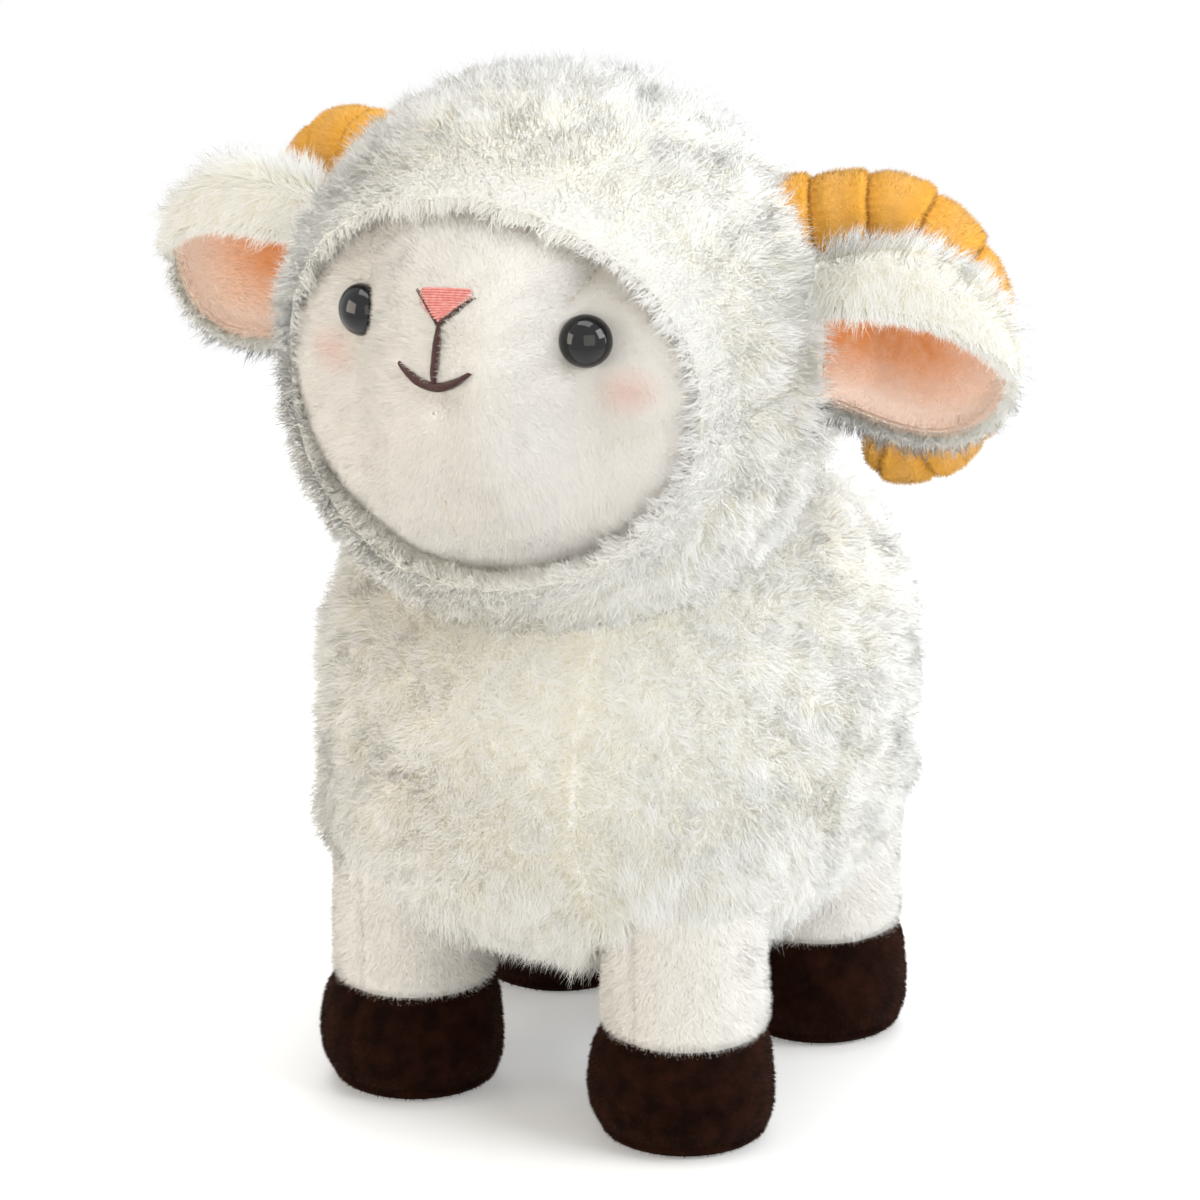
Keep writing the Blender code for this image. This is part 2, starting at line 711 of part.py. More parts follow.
def spindle_mesh(name, radius, half_length):
    """The gathered root of an ear, turned about its upright hinge axis."""
    count = SMALL_STEPS // 2 + 1
    spindle = bmesh.new()
    bmesh.ops.create_uvsphere(spindle, u_segments=SMALL_STEPS, v_segments=count - 1, radius=1)
    bmesh.ops.scale(spindle, vec=(radius, radius, half_length), verts=spindle.verts[:])
    mesh = bpy.data.meshes.new(name)
    spindle.to_mesh(mesh)
    spindle.free()
    return mesh


def build_ear(hand, side, pivot):
    """The fur back with its gathered root, and the pink lining inside the scoop."""
    turn = Matrix.Rotation(side * EAR_SWEEP, 3, "Z")
    leaf = ear_leaf("ear_leaf", side, 0, 0)
    outer = add_piece("ear_" + hand + "_outer", leaf, "long_fur", pivot, turn=turn)
    thicken(outer, EAR_WALL)
    root = spindle_mesh("ear_root", EAR_ROOT_RADIUS, EAR_ROOT_HALF_LENGTH)
    join(outer, add_cutter("ear_root_" + hand, root, pivot))

    leaf = ear_leaf("ear_lining_leaf", side, LINING_FIRST_ROW, 1)
    lining = add_piece("ear_" + hand + "_lining", leaf, "ear_pink", pivot, turn=turn)
    offset_skin(lining, (EAR_WALL + EAR_LINING_WALL) / 2 + GAP)
    thicken(lining, EAR_LINING_WALL)


# Horns
def horn_point(share, side):
    """A point of the horn's axis: straight out of the head at first, then curled down to the tip."""
    curl = max(0, (share - HORN_ROOT_SHARE) / (1 - HORN_ROOT_SHARE))
    run = HORN_ROOT_RUN * max(0, 1 - share / HORN_ROOT_SHARE)
    angle = HORN_TOP_ANGLE + (HORN_TIP_ANGLE - HORN_TOP_ANGLE) * curl
    out = HORN_CURL_HALF_WIDTH * cos(angle) - run * sin(HORN_TOP_ANGLE)
    centre_x = HORN_OUT + HORN_OUT_DRIFT * share
    centre_y = HEAD_HALF_DEPTH - HORN_INSET + HORN_BACK_DRIFT * share
    x = centre_x + out * cos(HORN_SWEEP)
    y = centre_y + out * sin(HORN_SWEEP)
    z = HORN_RISE + HORN_CURL_HALF_HEIGHT * sin(angle) + run * cos(HORN_TOP_ANGLE)
    return HEAD_CENTRE + Vector((side * x, y, z))


def horn_taper(share):
    return HORN_THICK_SHARE + (HORN_THIN_SHARE - HORN_THICK_SHARE) * share


def horn_cover_mesh(side):
    """The ridged tube: each ridge swells between two sewn tucks, and the tip is rounded."""
    places, radii = [], []
    for ridge in range(HORN_RIDGES):
        for along, swell in HORN_RIDGE_SHARES:
            share = (ridge + along) / HORN_RIDGES
            places.append(horn_point(share, side))
            radii.append(HORN_RADIUS * horn_taper(share) * swell)
    tip = horn_point(1, side)
    forward = (tip - places[-1]).normalized()
    for along, swell in ((0.0, 1.0), *HORN_CAP_SHARES):
        places.append(tip + forward * HORN_RADIUS * along)
        radii.append(HORN_RADIUS * HORN_THIN_SHARE * swell)
    return tube_mesh("horn_cover", places, radii, 4)


def horn_core_mesh(side, clearance):
    """The smooth space inside the ridged tube, which the filling fills."""
    tuck = HORN_RIDGE_SHARES[0][1]
    places, radii = [], []
    for index in range(HORN_CORE_POINTS):
        share = index / (HORN_CORE_POINTS - 1)
        places.append(horn_point(share, side))
        radii.append(HORN_RADIUS * horn_taper(share) * tuck - HORN_WALL - clearance)
    return tube_mesh("horn_core", places, radii, 2)


def build_horn(hand, side, head, head_skin):
    """A tapered, curled tube of plush and the filling inside it, both sewn flat against the hood."""
    offset = -HEAD_CENTRE
    cover = add_piece("horn_" + hand + "_cover", horn_cover_mesh(side), "horn_tan", head, offset)
    bore = add_cutter("horn_bore_" + hand, horn_core_mesh(side, 0), head, offset)
    filling = add_piece("horn_" + hand + "_stuffing", horn_core_mesh(side, GAP), "filling", head, offset)
    cut(cover, bore, head_skin)
    cut(filling, head_skin)


# Legs
def hoof_line(inset):
    """The hoof's outer line from the leg seam down to the sole seam, moved in by the inset."""
    top = HOOF_HEIGHT - HIP_HEIGHT
    fall = HOOF_HEIGHT - SOLE_SEAM_HEIGHT
    bulge = HOOF_RADIUS - LEG_RADIUS
    return [(LEG_RADIUS + bulge * share - inset, top - fall * down) for down, share in HOOF_BULGE_SHARES]


def leg_line(inset, start):
    """The leg's outer line from its opening over the hip down to the hoof seam, moved in by the inset."""
    top = HOOF_HEIGHT - HIP_HEIGHT
    hip = arc(HIP_RADIUS - inset, start, pi / 2, 4)
    return hip + [(LEG_WAIST_RADIUS - inset, top / 2), (LEG_RADIUS - inset, top)]


def build_leg(place, hip):
    """Leg tube, hoof, sole and filling, all about the hip."""
    floor = -HIP_HEIGHT
    cover = leg_line(0, LEG_OPEN_ANGLE) + leg_line(LEG_WALL, LEG_OPEN_ANGLE)[::-1]
    turned_piece("leg_" + place + "_cover", cover, "short_fur", hip, ring=True)

    outside = hoof_line(0)
    outside[0] = (outside[0][0], outside[0][1] - GAP)
    inside = hoof_line(HOOF_WALL)
    inside[0] = (inside[0][0], inside[0][1] - GAP)
    turned_piece("hoof_" + place + "_cover", outside + inside[::-1], "hoof_brown", hip, ring=True)

    rim, rim_height = hoof_line(0)[-1]
    rim_height -= GAP
    under = floor + SOLE_WALL
    sole = [
        (0, under),
        (SOLE_RADIUS - SOLE_WALL / 2, under),
        (rim - HOOF_WALL, rim_height),
        (rim, rim_height),
        (rim - (rim - SOLE_RADIUS) / 8, floor + SOLE_SEAM_HEIGHT / 2),
        (SOLE_RADIUS + (rim - SOLE_RADIUS) / 2, floor + SOLE_SEAM_HEIGHT / 8),
        (SOLE_RADIUS, floor),
        (0, floor),
    ]
    turned_piece("sole_" + place, sole, "hoof_brown", hip)

    open_angle = LEG_OPEN_ANGLE - GAP / (HIP_RADIUS - LEG_WALL)
    filling = arc(HIP_RADIUS, 0, open_angle, 4)
    filling += leg_line(LEG_WALL + GAP, open_angle)
    filling += hoof_line(HOOF_WALL + GAP)[1:]
    filling += [(SOLE_RADIUS - SOLE_WALL / 2 - GAP, under + GAP), (0, under + GAP)]
    turned_piece("leg_" + place + "_stuffing", closed_on_axis(filling), "filling", hip)


# Tail
def build_tail(pivot):
    """A small fur tail on a ball root, hanging out from the rump."""
    direction = Vector((0, sin(TAIL_TILT), -cos(TAIL_TILT)))
    root = arc(TAIL_ROOT_RADIUS, 0, TAIL_ROOT_END, 6)
    body = [(TAIL_RADIUS * wide, -TAIL_LENGTH * along) for along, wide in TAIL_SHARES]
    profile = closed_on_axis(root + body + [(0, -TAIL_LENGTH)])
    turned_piece("tail", profile, "long_fur", pivot, turn=axis_turn(-direction), steps=SMALL_STEPS)


def tail_socket_cutter(pivot):
    """The ball socket of the tail in the rump's cover."""
    count = SMALL_STEPS // 2 + 1
    radius = around(TAIL_ROOT_RADIUS + GAP, SMALL_STEPS, pi / (count - 1))
    profile = closed_on_axis(arc(radius, 0, pi, count))
    turn = Matrix.Rotation(pi / 2, 3, "Y")
    return turned_cutter("tail_socket", profile, pivot, turn=turn, steps=SMALL_STEPS)


def stand_on_origin():
    """Moves the whole toy so that the middle of its footprint box is at the origin."""
    points = []
    for piece in PARTS.objects:
        if piece.type == "MESH":
            points += evaluated_points(piece)
    low = [min(point[axis] for point in points) for axis in range(3)]
    high = [max(point[axis] for point in points) for axis in range(3)]
    SHEEP.location = (-(low[0] + high[0]) / 2, -(low[1] + high[1]) / 2, -low[2])


def build_sheep():
    head = make_empty("neck_joint", HEAD_CENTRE, SHEEP)

    hips = {}
    for end, reach in (("front", -LEG_REACH), ("rear", LEG_REACH)):
        for hand, side in (("left", 1), ("right", -1)):
            place = end + "_" + hand
            hips[place] = make_empty("hip_" + place, (side * LEG_SPREAD, reach, HIP_HEIGHT), SHEEP)
    wells = [hip_well_cutter("well_" + place, hip) for place, hip in hips.items()]

    torso = soft_cutter("torso_form", BODY_CAGE, BODY_CENTRE, 0)
    rump, _ = seat(surface_of(torso), Vector((0, FAR, TAIL_HEIGHT)), TOWARD_FRONT)
    tail = make_empty("tail_joint", rump, SHEEP)
    build_body(wells, neck_dish_cutter(), tail_socket_cutter(tail))

    head_form = surface_of(soft_cutter("head_form", HEAD_CAGE, HEAD_CENTRE, 0))
    pivots, sockets = {}, []
    for hand, side in (("left", 1), ("right", -1)):
        start = HEAD_CENTRE + Vector((side * FAR, EAR_BACK, EAR_RISE))
        point, _ = seat(head_form, start, Vector((-side, 0, 0)))
        point.x -= side * EAR_SINK
        pivots[hand] = make_empty("ear_joint_" + hand, point, SHEEP)
        name = "ear_socket_" + hand
        sockets.append(root_socket_cutter(name, pivots[hand], EAR_ROOT_RADIUS, EAR_ROOT_HALF_LENGTH))
    panel, filling = build_head(head, sockets)
    face = surface_of(soft_cutter("face_form", FACE_CAGE, FACE_CENTRE, 0))
    build_eyes(head, face, panel, filling)
    build_nose(head, face)
    build_mouth(head, face)

    head_skin = head_skin_cutter()
    for hand, side in (("left", 1), ("right", -1)):
        build_ear(hand, side, pivots[hand])
        build_horn(hand, side, head, head_skin)

    for place, hip in hips.items():
        build_leg(place, hip)
    build_tail(tail)
    stand_on_origin()


build_sheep()
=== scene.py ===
from math import atan, cos, pi, radians, sin

import bpy
import numpy as np
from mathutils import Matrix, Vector
from mathutils.kdtree import KDTree


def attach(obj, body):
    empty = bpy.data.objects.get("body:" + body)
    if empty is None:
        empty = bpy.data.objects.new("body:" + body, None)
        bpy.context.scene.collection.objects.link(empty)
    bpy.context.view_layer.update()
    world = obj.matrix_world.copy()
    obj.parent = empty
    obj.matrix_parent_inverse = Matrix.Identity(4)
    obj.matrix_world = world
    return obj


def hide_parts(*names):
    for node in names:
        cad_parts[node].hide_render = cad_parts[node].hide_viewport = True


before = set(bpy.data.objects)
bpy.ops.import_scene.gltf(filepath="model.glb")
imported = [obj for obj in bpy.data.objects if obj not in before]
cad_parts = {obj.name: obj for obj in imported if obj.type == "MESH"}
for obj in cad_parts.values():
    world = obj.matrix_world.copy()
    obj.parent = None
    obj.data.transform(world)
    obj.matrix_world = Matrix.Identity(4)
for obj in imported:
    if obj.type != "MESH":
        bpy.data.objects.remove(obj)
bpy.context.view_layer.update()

STRAND_SHARE = 1.0
RNG = np.random.default_rng(41)

# Places and sizes of the covers, as the CAD solids have them
BODY_CENTRE = np.array((0, -0.008378, 0.094))
BODY_SIZES = np.array((0.0685, 0.0845, 0.064))
BODY_FULLNESS = 2.5
HEAD_CENTRE = np.array((0, -0.040378, 0.183))
HEAD_SIZES = np.array((0.0653, 0.0643, 0.067))
HEAD_ROOM = 0.0650
FACE_CENTRE = np.array((0, -0.066878, 0.1845))
FACE_SIZES = np.array((0.0515, 0.0325, 0.0435))
SEAM_DEPTH = FACE_CENTRE[1] + 0.001
MUZZLE_TOP_SHARE = 0.25
MUZZLE_FOOT_SHARE = 0.56
CHEEK_DROP_SHARE = 0.49
HIP_HEIGHT = 0.068
HIPS = {f"{end}_{hand}": np.array((across, depth, HIP_HEIGHT))
        for end, depth in (("front", -0.045878), ("rear", 0.029122))
        for hand, across in (("left", 0.036), ("right", -0.036))}
HIP_RADIUS = 0.0196
HOOF_HEIGHT = 0.027
TAIL_PIVOT = np.array((0, 0.07256, 0.112))
TAIL_AXIS = (0, 0.9511, -0.309)
HANDS = {1: "left", -1: "right"}
EAR_PIVOTS = {side: np.array((side * 0.061813, -0.036378, 0.195)) for side in HANDS}
HORN_RADIUS = 0.0089
HORN_RIDGES = 9

# Where the eyes look, and where each blush is
EYE_AXIS = (0.3884, -0.918, 0.0798)
BLUSH_PLACE = (0.0372, -0.0775, 0.1890)

# Offsets from the face's middle, across and up, and the radius round each eye that has no pile
EYE_ACROSS, EYE_UP, EYE_CLEARING = 0.0278, 0.0155, 0.0056
NOSE_RISE = 0.0238
DARTS = (
    ((0.0235, 0.0235), (0.0300, 0.0345)),
    ((-0.0235, 0.0235), (-0.0300, 0.0345)),
    ((0, -0.0207), (0, -0.0360)),
)

# Pile: the long pile's depth over its skin, its length and width, the wavelength over which it swirls, the
# gap between tufts of fleece, the heights where the crown begins and ends, and the strands per square metre
PILE_DEPTH = 0.0036
TORSO_LENGTH, HOOD_LENGTH, TAIL_LENGTH = 0.0060, 0.0058, 0.0058
LONG_WIDTH = 0.00017
SWIRL = 0.014
TUFT_GAP = 0.0085
CROWN = (0.195, 0.235)
DENSITY = {
    "torso": 4.4e6, "hood": 4.4e6, "ear": 4.2e6, "tail": 3.4e6, "leg_top": 4.6e6, "face": 16e6,
    "lining": 9.0e6, "horn": 8.0e6, "leg": 9.0e6, "hoof": 7.0e6, "sole": 7.0e6,
}

# Long pile: the gap between its locks, the pull towards them, and how far tips curl and strands stray
LOCKS = {
    "torso": dict(gap=0.0046, pull=0.40, curl=0.0022, loose=0.0011),
    "hood": dict(gap=0.0046, pull=0.38, curl=0.0020, loose=0.0010),
    "ear": dict(gap=0.0042, pull=0.40, curl=0.0016, loose=0.0008),
    "ear_rim": dict(gap=0.0030, pull=0.30, curl=0.0012, loose=0.0007),
    "tail": dict(gap=0.0050, pull=0.60, curl=0.0020, loose=0.0005),
}

# Short pile: its length and width, how far its tufts spread, and how much their shading differs
NAPS = {
    "face": dict(length=0.0019, width=0.00017, spread=0.30, shading=0.11),
    "lining": dict(length=0.0016, width=0.00020, spread=0.35, shading=0.20),
    "ear_rim": dict(length=0.0024, width=0.00020, spread=0.35, shading=0.20),
    "horn": dict(length=0.0014, width=0.00020, spread=0.40, shading=0.28),
    "leg": dict(length=0.0019, width=0.00020, spread=0.34, shading=0.30),
    "hoof": dict(length=0.0012, width=0.00022, spread=0.35, shading=0.20),
    "sole": dict(length=0.0008, width=0.00022, spread=0.35, shading=0.20),
}

# Colours, as linear values
FUR_WHITE = (0.970, 0.972, 0.950)
FUR_CREAM = (0.930, 0.915, 0.830)
# Painted shade: the beige of the long pile's roots and hollows, also the paler tone of the seam thread
PAINTED_SHADE_AND_THREAD_BEIGE = (0.820, 0.745, 0.530)
FACE_CREAM = (0.930, 0.910, 0.875)
FACE_SHADE = (0.900, 0.860, 0.805)
BLUSH_PINK = (0.900, 0.620, 0.560)
EAR_PALE = (0.960, 0.730, 0.610)
# The fold in each ear's lining: partly the lining's own orange, partly painted shade of the fold
EAR_FOLD_ORANGE_AND_SHADE = (0.790, 0.320, 0.115)
HORN_TAN = (0.930, 0.480, 0.070)
HORN_LIGHT = (0.860, 0.470, 0.115)
# Painted shade: the dark line along each sewn tuck of the horns
HORN_TUCK_SHADE = (0.340, 0.140, 0.030)
HOOF_DARK = (0.0065, 0.0018, 0.0009)
HOOF_LIGHT = (0.024, 0.007, 0.0035)
HOOF_SHEEN = (0.75, 0.42, 0.30)
NOSE_PINK = (0.760, 0.230, 0.210)
NOSE_LIGHT = (0.860, 0.380, 0.340)
THREAD_DARK = (0.036, 0.007, 0.005)
THREAD_LIGHT = (0.072, 0.014, 0.010)
EYE_BLACK = (0.003, 0.003, 0.0035)
SEAM_TAN = (0.60, 0.47, 0.32)
FLOOR_WHITE = (0.93, 0.93, 0.93)
ROOM_WHITE = (1.0, 0.985, 0.955)


# Small vector helpers
def unit(vectors):
    """The same vectors at length one."""
    return vectors / np.maximum(np.linalg.norm(vectors, axis=-1, keepdims=True), 1e-12)


def eased(value, low, high):
    """0 below low and 1 above high, smooth between them."""
    share = np.clip((value - low) / (high - low), 0, 1)
    return share * share * (3 - 2 * share)


def turns(count):
    """This many angles round a circle."""
    return np.arange(count) * 2 * pi / count


class Ripple:
    """A smooth random field over space, from -1 to 1, with about this wavelength."""

    def __init__(self, wavelength, seed, waves=14):
        rng = np.random.default_rng(seed)
        pitch = 2 * pi / wavelength * rng.uniform(0.7, 1.3, waves)
        self.ways = unit(rng.normal(size=(waves, 3))) * pitch[:, None]
        self.phases = rng.uniform(0, 2 * pi, waves)

    def __call__(self, points):
        waves = np.sin(points @ self.ways.T + self.phases)
        return np.clip(waves.sum(-1) / (0.5 * len(self.phases)) ** 0.5 / 2, -1, 1)


def swirled(points, wavelength, seed):
    """A smooth random vector at each point."""
    return np.stack([Ripple(wavelength, seed + axis)(points) for axis in range(3)], -1)


class Tufts:
    """Rounded tufts of fleece about this far apart: 1 on top of them and 0 in the narrow hollows between."""

    def __init__(self, gap, seed):
        self.fields = [Ripple(gap * 2.0, seed), Ripple(gap * 2.3, seed + 1)]

    def __call__(self, points):
        return np.min([1 - np.exp(-((field(points) / 0.26) ** 2)) for field in self.fields], axis=0)

    def hollow(self, points):
        """1 in the hollows and 0 on the tufts."""
        return 1 - eased(self(points), 0.05, 0.75)


def running_length(points):
    """The length of a line up to each of its points."""
    return np.concatenate([[0], np.cumsum(np.linalg.norm(np.diff(points, axis=0), axis=1))])


def along_line(at, total, values):
    """Vectors taken at places along a line that has these running lengths."""
    return np.stack([np.interp(at, total, values[:, axis]) for axis in range(3)], -1)


# Meshes from arrays
def normals_of(points, quads):
    """Smooth normals at the points."""
    corners = points[quads]
    across = np.cross(corners[:, 2] - corners[:, 0], corners[:, 3] - corners[:, 1])
    total = np.zeros_like(points)
    for corner in range(4):
        for axis in range(3):
            total[:, axis] += np.bincount(quads[:, corner], across[:, axis], len(points))
    return unit(total)


def new_object(name, points, faces, material, uv=None, normals=None):
    """A piece from points and faces that all have the same number of corners."""
    sides = faces.shape[1]
    mesh = bpy.data.meshes.new(name)
    mesh.vertices.add(len(points))
    mesh.vertices.foreach_set("co", np.ascontiguousarray(points, np.float32).ravel())
    mesh.loops.add(faces.size)
    mesh.loops.foreach_set("vertex_index", np.ascontiguousarray(faces, np.int32).ravel())
    mesh.polygons.add(len(faces))
    mesh.polygons.foreach_set("loop_start", np.arange(0, faces.size, sides, dtype=np.int32))
    mesh.update(calc_edges=True)
    mesh.shade_smooth()
    if uv is not None:
        layer = mesh.uv_layers.new(name="OFBake")
        layer.uv.foreach_set("vector", np.ascontiguousarray(uv[faces.ravel()], np.float32).ravel())
    if normals is not None:
        mesh.normals_split_custom_set_from_vertices(normals.tolist())
        lay = mesh.attributes.new("pile_up", "FLOAT_VECTOR", "POINT")
        lay.data.foreach_set("vector", np.ascontiguousarray(normals, np.float32).ravel())
    mesh.materials.append(material)
    piece = bpy.data.objects.new(name, mesh)
    bpy.context.scene.collection.objects.link(piece)
    return piece


def declare(piece, body, nodes=()):
    """Says which body a piece rides on, and hides the nodes that it stands for."""
    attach(piece, body)
    if nodes:
        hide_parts(*nodes)


def sheet_quads(rows, columns, closed):
    """Quads between rows of points. Closed joins the last column to the first."""
    count = columns if closed else columns - 1
    row, column = np.meshgrid(np.arange(rows - 1), np.arange(count), indexing="ij")
    beside = (column + 1) % columns
    quads = np.stack([row * columns + column, row * columns + beside, (row + 1) * columns + beside,
                      (row + 1) * columns + column], -1)
    return quads.reshape(-1, 4)


def halved(quads):
    """The two triangles of each quad."""
    return np.concatenate([quads[:, [0, 1, 2]], quads[:, [0, 2, 3]]])


def cube_ball(count):
    """Directions over a ball, and the quads between them, from the six sides of a cube."""
    line = np.tan(np.linspace(-1, 1, count + 1) * pi / 4)
    grids, quads = [], []
    for axis in range(3):
        for sign in (-1, 1):
            across, up = np.meshgrid(line, line, indexing="ij")
            side = np.empty((count + 1, count + 1, 3))
            side[..., axis] = sign
            side[..., (axis + 1) % 3] = across
            side[..., (axis + 2) % 3] = up
            first = len(grids) * (count + 1) ** 2
            corner = first + np.arange((count + 1) ** 2).reshape(count + 1, count + 1)
            quad = np.stack([corner[:-1, :-1], corner[1:, :-1], corner[1:, 1:], corner[:-1, 1:]], -1)
            quad = quad.reshape(-1, 4)
            grids.append(side.reshape(-1, 3))
            quads.append(quad if sign > 0 else quad[:, ::-1])
    ways = unit(np.concatenate(grids))
    _, first, places = np.unique(np.round(ways, 6), axis=0, return_index=True, return_inverse=True)
    return ways[first], places.reshape(-1)[np.concatenate(quads)]


def rounded_reach(ways, sizes, fullness):
    """How far the rounded form reaches along each direction."""
    x, y, z = (ways / sizes).T
    across = (np.abs(x) ** fullness + np.abs(z) ** fullness) ** (2 / fullness)
    return (across + y**2) ** -0.5


def beyond_torso(points, inset):
    """True where points lie outside the torso's form, drawn in by this much."""
    away = points - BODY_CENTRE
    return np.linalg.norm(away, axis=1) > rounded_reach(unit(away), BODY_SIZES - inset, BODY_FULLNESS)


def dented(centre, ways, reach, blocked):
    """The reaches, cut short where they first enter a blocked place if they end in one, and which are cut."""
    nearest, steps, halvings = 0.2, 90, 8
    ends = blocked(centre + ways * reach[:, None])
    low = np.full(len(ways), nearest)
    high = np.ones(len(ways))
    found = np.zeros(len(ways), bool)
    for step in np.linspace(nearest, 1, steps):
        hit = blocked(centre + ways * (reach * step)[:, None]) & ends & ~found
        high[hit] = step
        found |= hit
        low[~found] = step
    for _ in range(halvings):
        middle = (low + high) / 2
        inside = blocked(centre + ways * (reach * middle)[:, None])
        high = np.where(found & inside, middle, high)
        low = np.where(found & ~inside, middle, low)
    return np.where(found, reach * low, reach), found


def scatter(points, normals, quads, density, keep=None):
    """Random roots over a surface, their normals, and a function that takes other values at the roots."""
    halves = halved(quads)
    if keep is not None:
        halves = halves[keep[halves].all(1)]
    a, b, c = points[halves[:, 0]], points[halves[:, 1]], points[halves[:, 2]]
    area = np.linalg.norm(np.cross(b - a, c - a), axis=1) / 2
    total = np.cumsum(area)
    count = max(8, int(total[-1] * density * STRAND_SHARE))
    pick = np.searchsorted(total, (np.arange(count) + RNG.random(count)) / count * total[-1])
    pick = np.minimum(pick, len(halves) - 1)
    root = np.sqrt(RNG.random(count))
    along = RNG.random(count)
    weights = np.stack([1 - root, root * (1 - along), root * along], 1)
    chosen = halves[pick]

    def take(values):
        if values.ndim == 1:
            return (values[chosen] * weights).sum(1)
        return (values[chosen] * weights[..., None]).sum(1)

    return take(points), unit(take(normals)), take


# Pile
def lifted(facing):
    """The same directions with those that point down brought nearer the level, as pile passes light on."""
    level = np.ones(len(facing))
    return unit(facing * np.stack([level, level, np.where(facing[:, 2] < 0, 0.45, 1)], 1))


STRAND_CORNERS = 5
STRAND_FACES = ((0, 1, 2), (0, 2, 3), (3, 2, 4))


def add_pile(name, base, points, faces, material, uv, shades):
    """One piece of pile on its skin. Pile casts no shadow, which would turn its white grey."""
    piece = new_object(name, points, faces, material, uv, shades)
    piece.visible_shadow = False
    piece.parent = base
    return piece


def long_pile(name, base, roots, ups, aims, lengths, painted_shade, gap, pull, curl, loose, guard=None, parts=1):
    """Curly pile as tapered strands, gathered into locks whose tips curl together."""
    count = len(roots)
    reach = roots.max(0) - roots.min(0)
    rough_area = reach[0] * reach[1] + reach[1] * reach[2] + reach[0] * reach[2]
    locks = int(np.clip(1.6 * rough_area / gap**2, 12, count))
    chosen = RNG.choice(count, locks, replace=False)
    tree = KDTree(locks)
    for index, place in enumerate(roots[chosen].tolist()):
        tree.insert(place, index)
    tree.balance()
    near = np.array([tree.find(place)[1] for place in roots.tolist()])
    lock_way = RNG.normal(size=(locks, 3))
    lock_up = ups[chosen]
    lock_way -= (lock_way * lock_up).sum(1, keepdims=True) * lock_up
    lock_way = unit(lock_way) * curl * RNG.uniform(0.5, 1.3, (locks, 1))
    lock_size = RNG.uniform(0.82, 1.18, locks)
    lock_tint = RNG.random(locks)
    lengths = lengths * lock_size[near] * RNG.uniform(0.8, 1.1, count)
    long = lengths[:, None]
    centre = roots[chosen][near]
    lead = aims[chosen][near]
    way = lock_way[near]
    pulls = (pull * RNG.uniform(0.55, 1.15, count))[:, None]
    middle = roots + aims * long * 0.5
    tip = roots + aims * long
    middle += (centre + lead * long * 0.55 + way * 0.15 - middle) * pulls * 0.45
    tip += (centre + lead * long * 0.95 + way - tip) * pulls
    middle += RNG.normal(size=(count, 3)) * loose * 0.8
    tip += RNG.normal(size=(count, 3)) * loose
    if guard is not None:
        middle = guard(middle)
        tip = guard(tip)
    lean = unit(tip - roots)
    side = unit(np.cross(lean, ups + RNG.normal(size=(count, 3)) * 0.30)) * LONG_WIDTH / 2
    points = np.stack([roots - side, roots + side, middle + side * 0.9, middle - side * 0.9, tip], 1)
    shades = unit(ups * 0.9 + lean * 0.16 + RNG.normal(size=(count, 3)) * 0.10)
    shades = np.repeat(shades[:, None], STRAND_CORNERS, axis=1)

    # The map says which lock a strand belongs to, and how far along it a point is. A strand marked for shade
    # keeps more of the roots' beige, painted shade, and one marked below zero stays paler, painted light
    painted_shade = np.broadcast_to(painted_shade, count)
    lock = lock_tint[near] * 0.9 + RNG.random(count) * 0.08
    uv = np.zeros((count, STRAND_CORNERS, 2))
    uv[..., 0] = lock[:, None] + np.array((0, 0.004, 0.004, 0, 0.002))
    uv[..., 1] = np.array((0.02, 0.02, 0.5, 0.5, 0.98))
    uv[..., 1] *= (1 - 0.55 * np.maximum(painted_shade, 0))[:, None]
    uv[..., 1] = 1 - (1 - uv[..., 1]) * (1 + np.minimum(painted_shade, 0))[:, None]
    made = []
    for part in range(parts):
        own_points, own_uv, own_shades = (each[part::parts] for each in (points, uv, shades))
        first = np.arange(len(own_points))[:, None] * STRAND_CORNERS
        faces = np.concatenate([first + corners for corners in STRAND_FACES], 1).reshape(-1, 3)
        label = name if parts == 1 else f"{name}_{part + 1}"
        made.append(add_pile(label, base, own_points.reshape(-1, 3), faces, PILE, own_uv.reshape(-1, 2),
                             own_shades.reshape(-1, 3)))
    return made


def nap(name, base, material, roots, ups, aims, uv, length, width, spread, shading):
    """Short pile: one narrow triangle per tuft."""
    count = len(roots)
    aims = unit(aims + RNG.normal(size=(count, 3)) * spread)
    long = (length * RNG.uniform(0.65, 1.15, count))[:, None]
    side = unit(np.cross(aims, ups + RNG.normal(size=(count, 3)) * 0.25)) * width / 2
    start = roots - ups * length * 0.1
    points = np.stack([start - side, start + side, roots + aims * long], 1).reshape(-1, 3)
    shades = np.repeat(unit(ups + RNG.normal(size=(count, 3)) * shading), 3, axis=0)
    step = 0.0016
    uv = (uv[:, None] + np.array(((-step, 0), (step, 0), (0, 2 * step)))).reshape(-1, 2)
    add_pile(name, base, points, np.arange(count * 3).reshape(-1, 3), material, uv, shades)


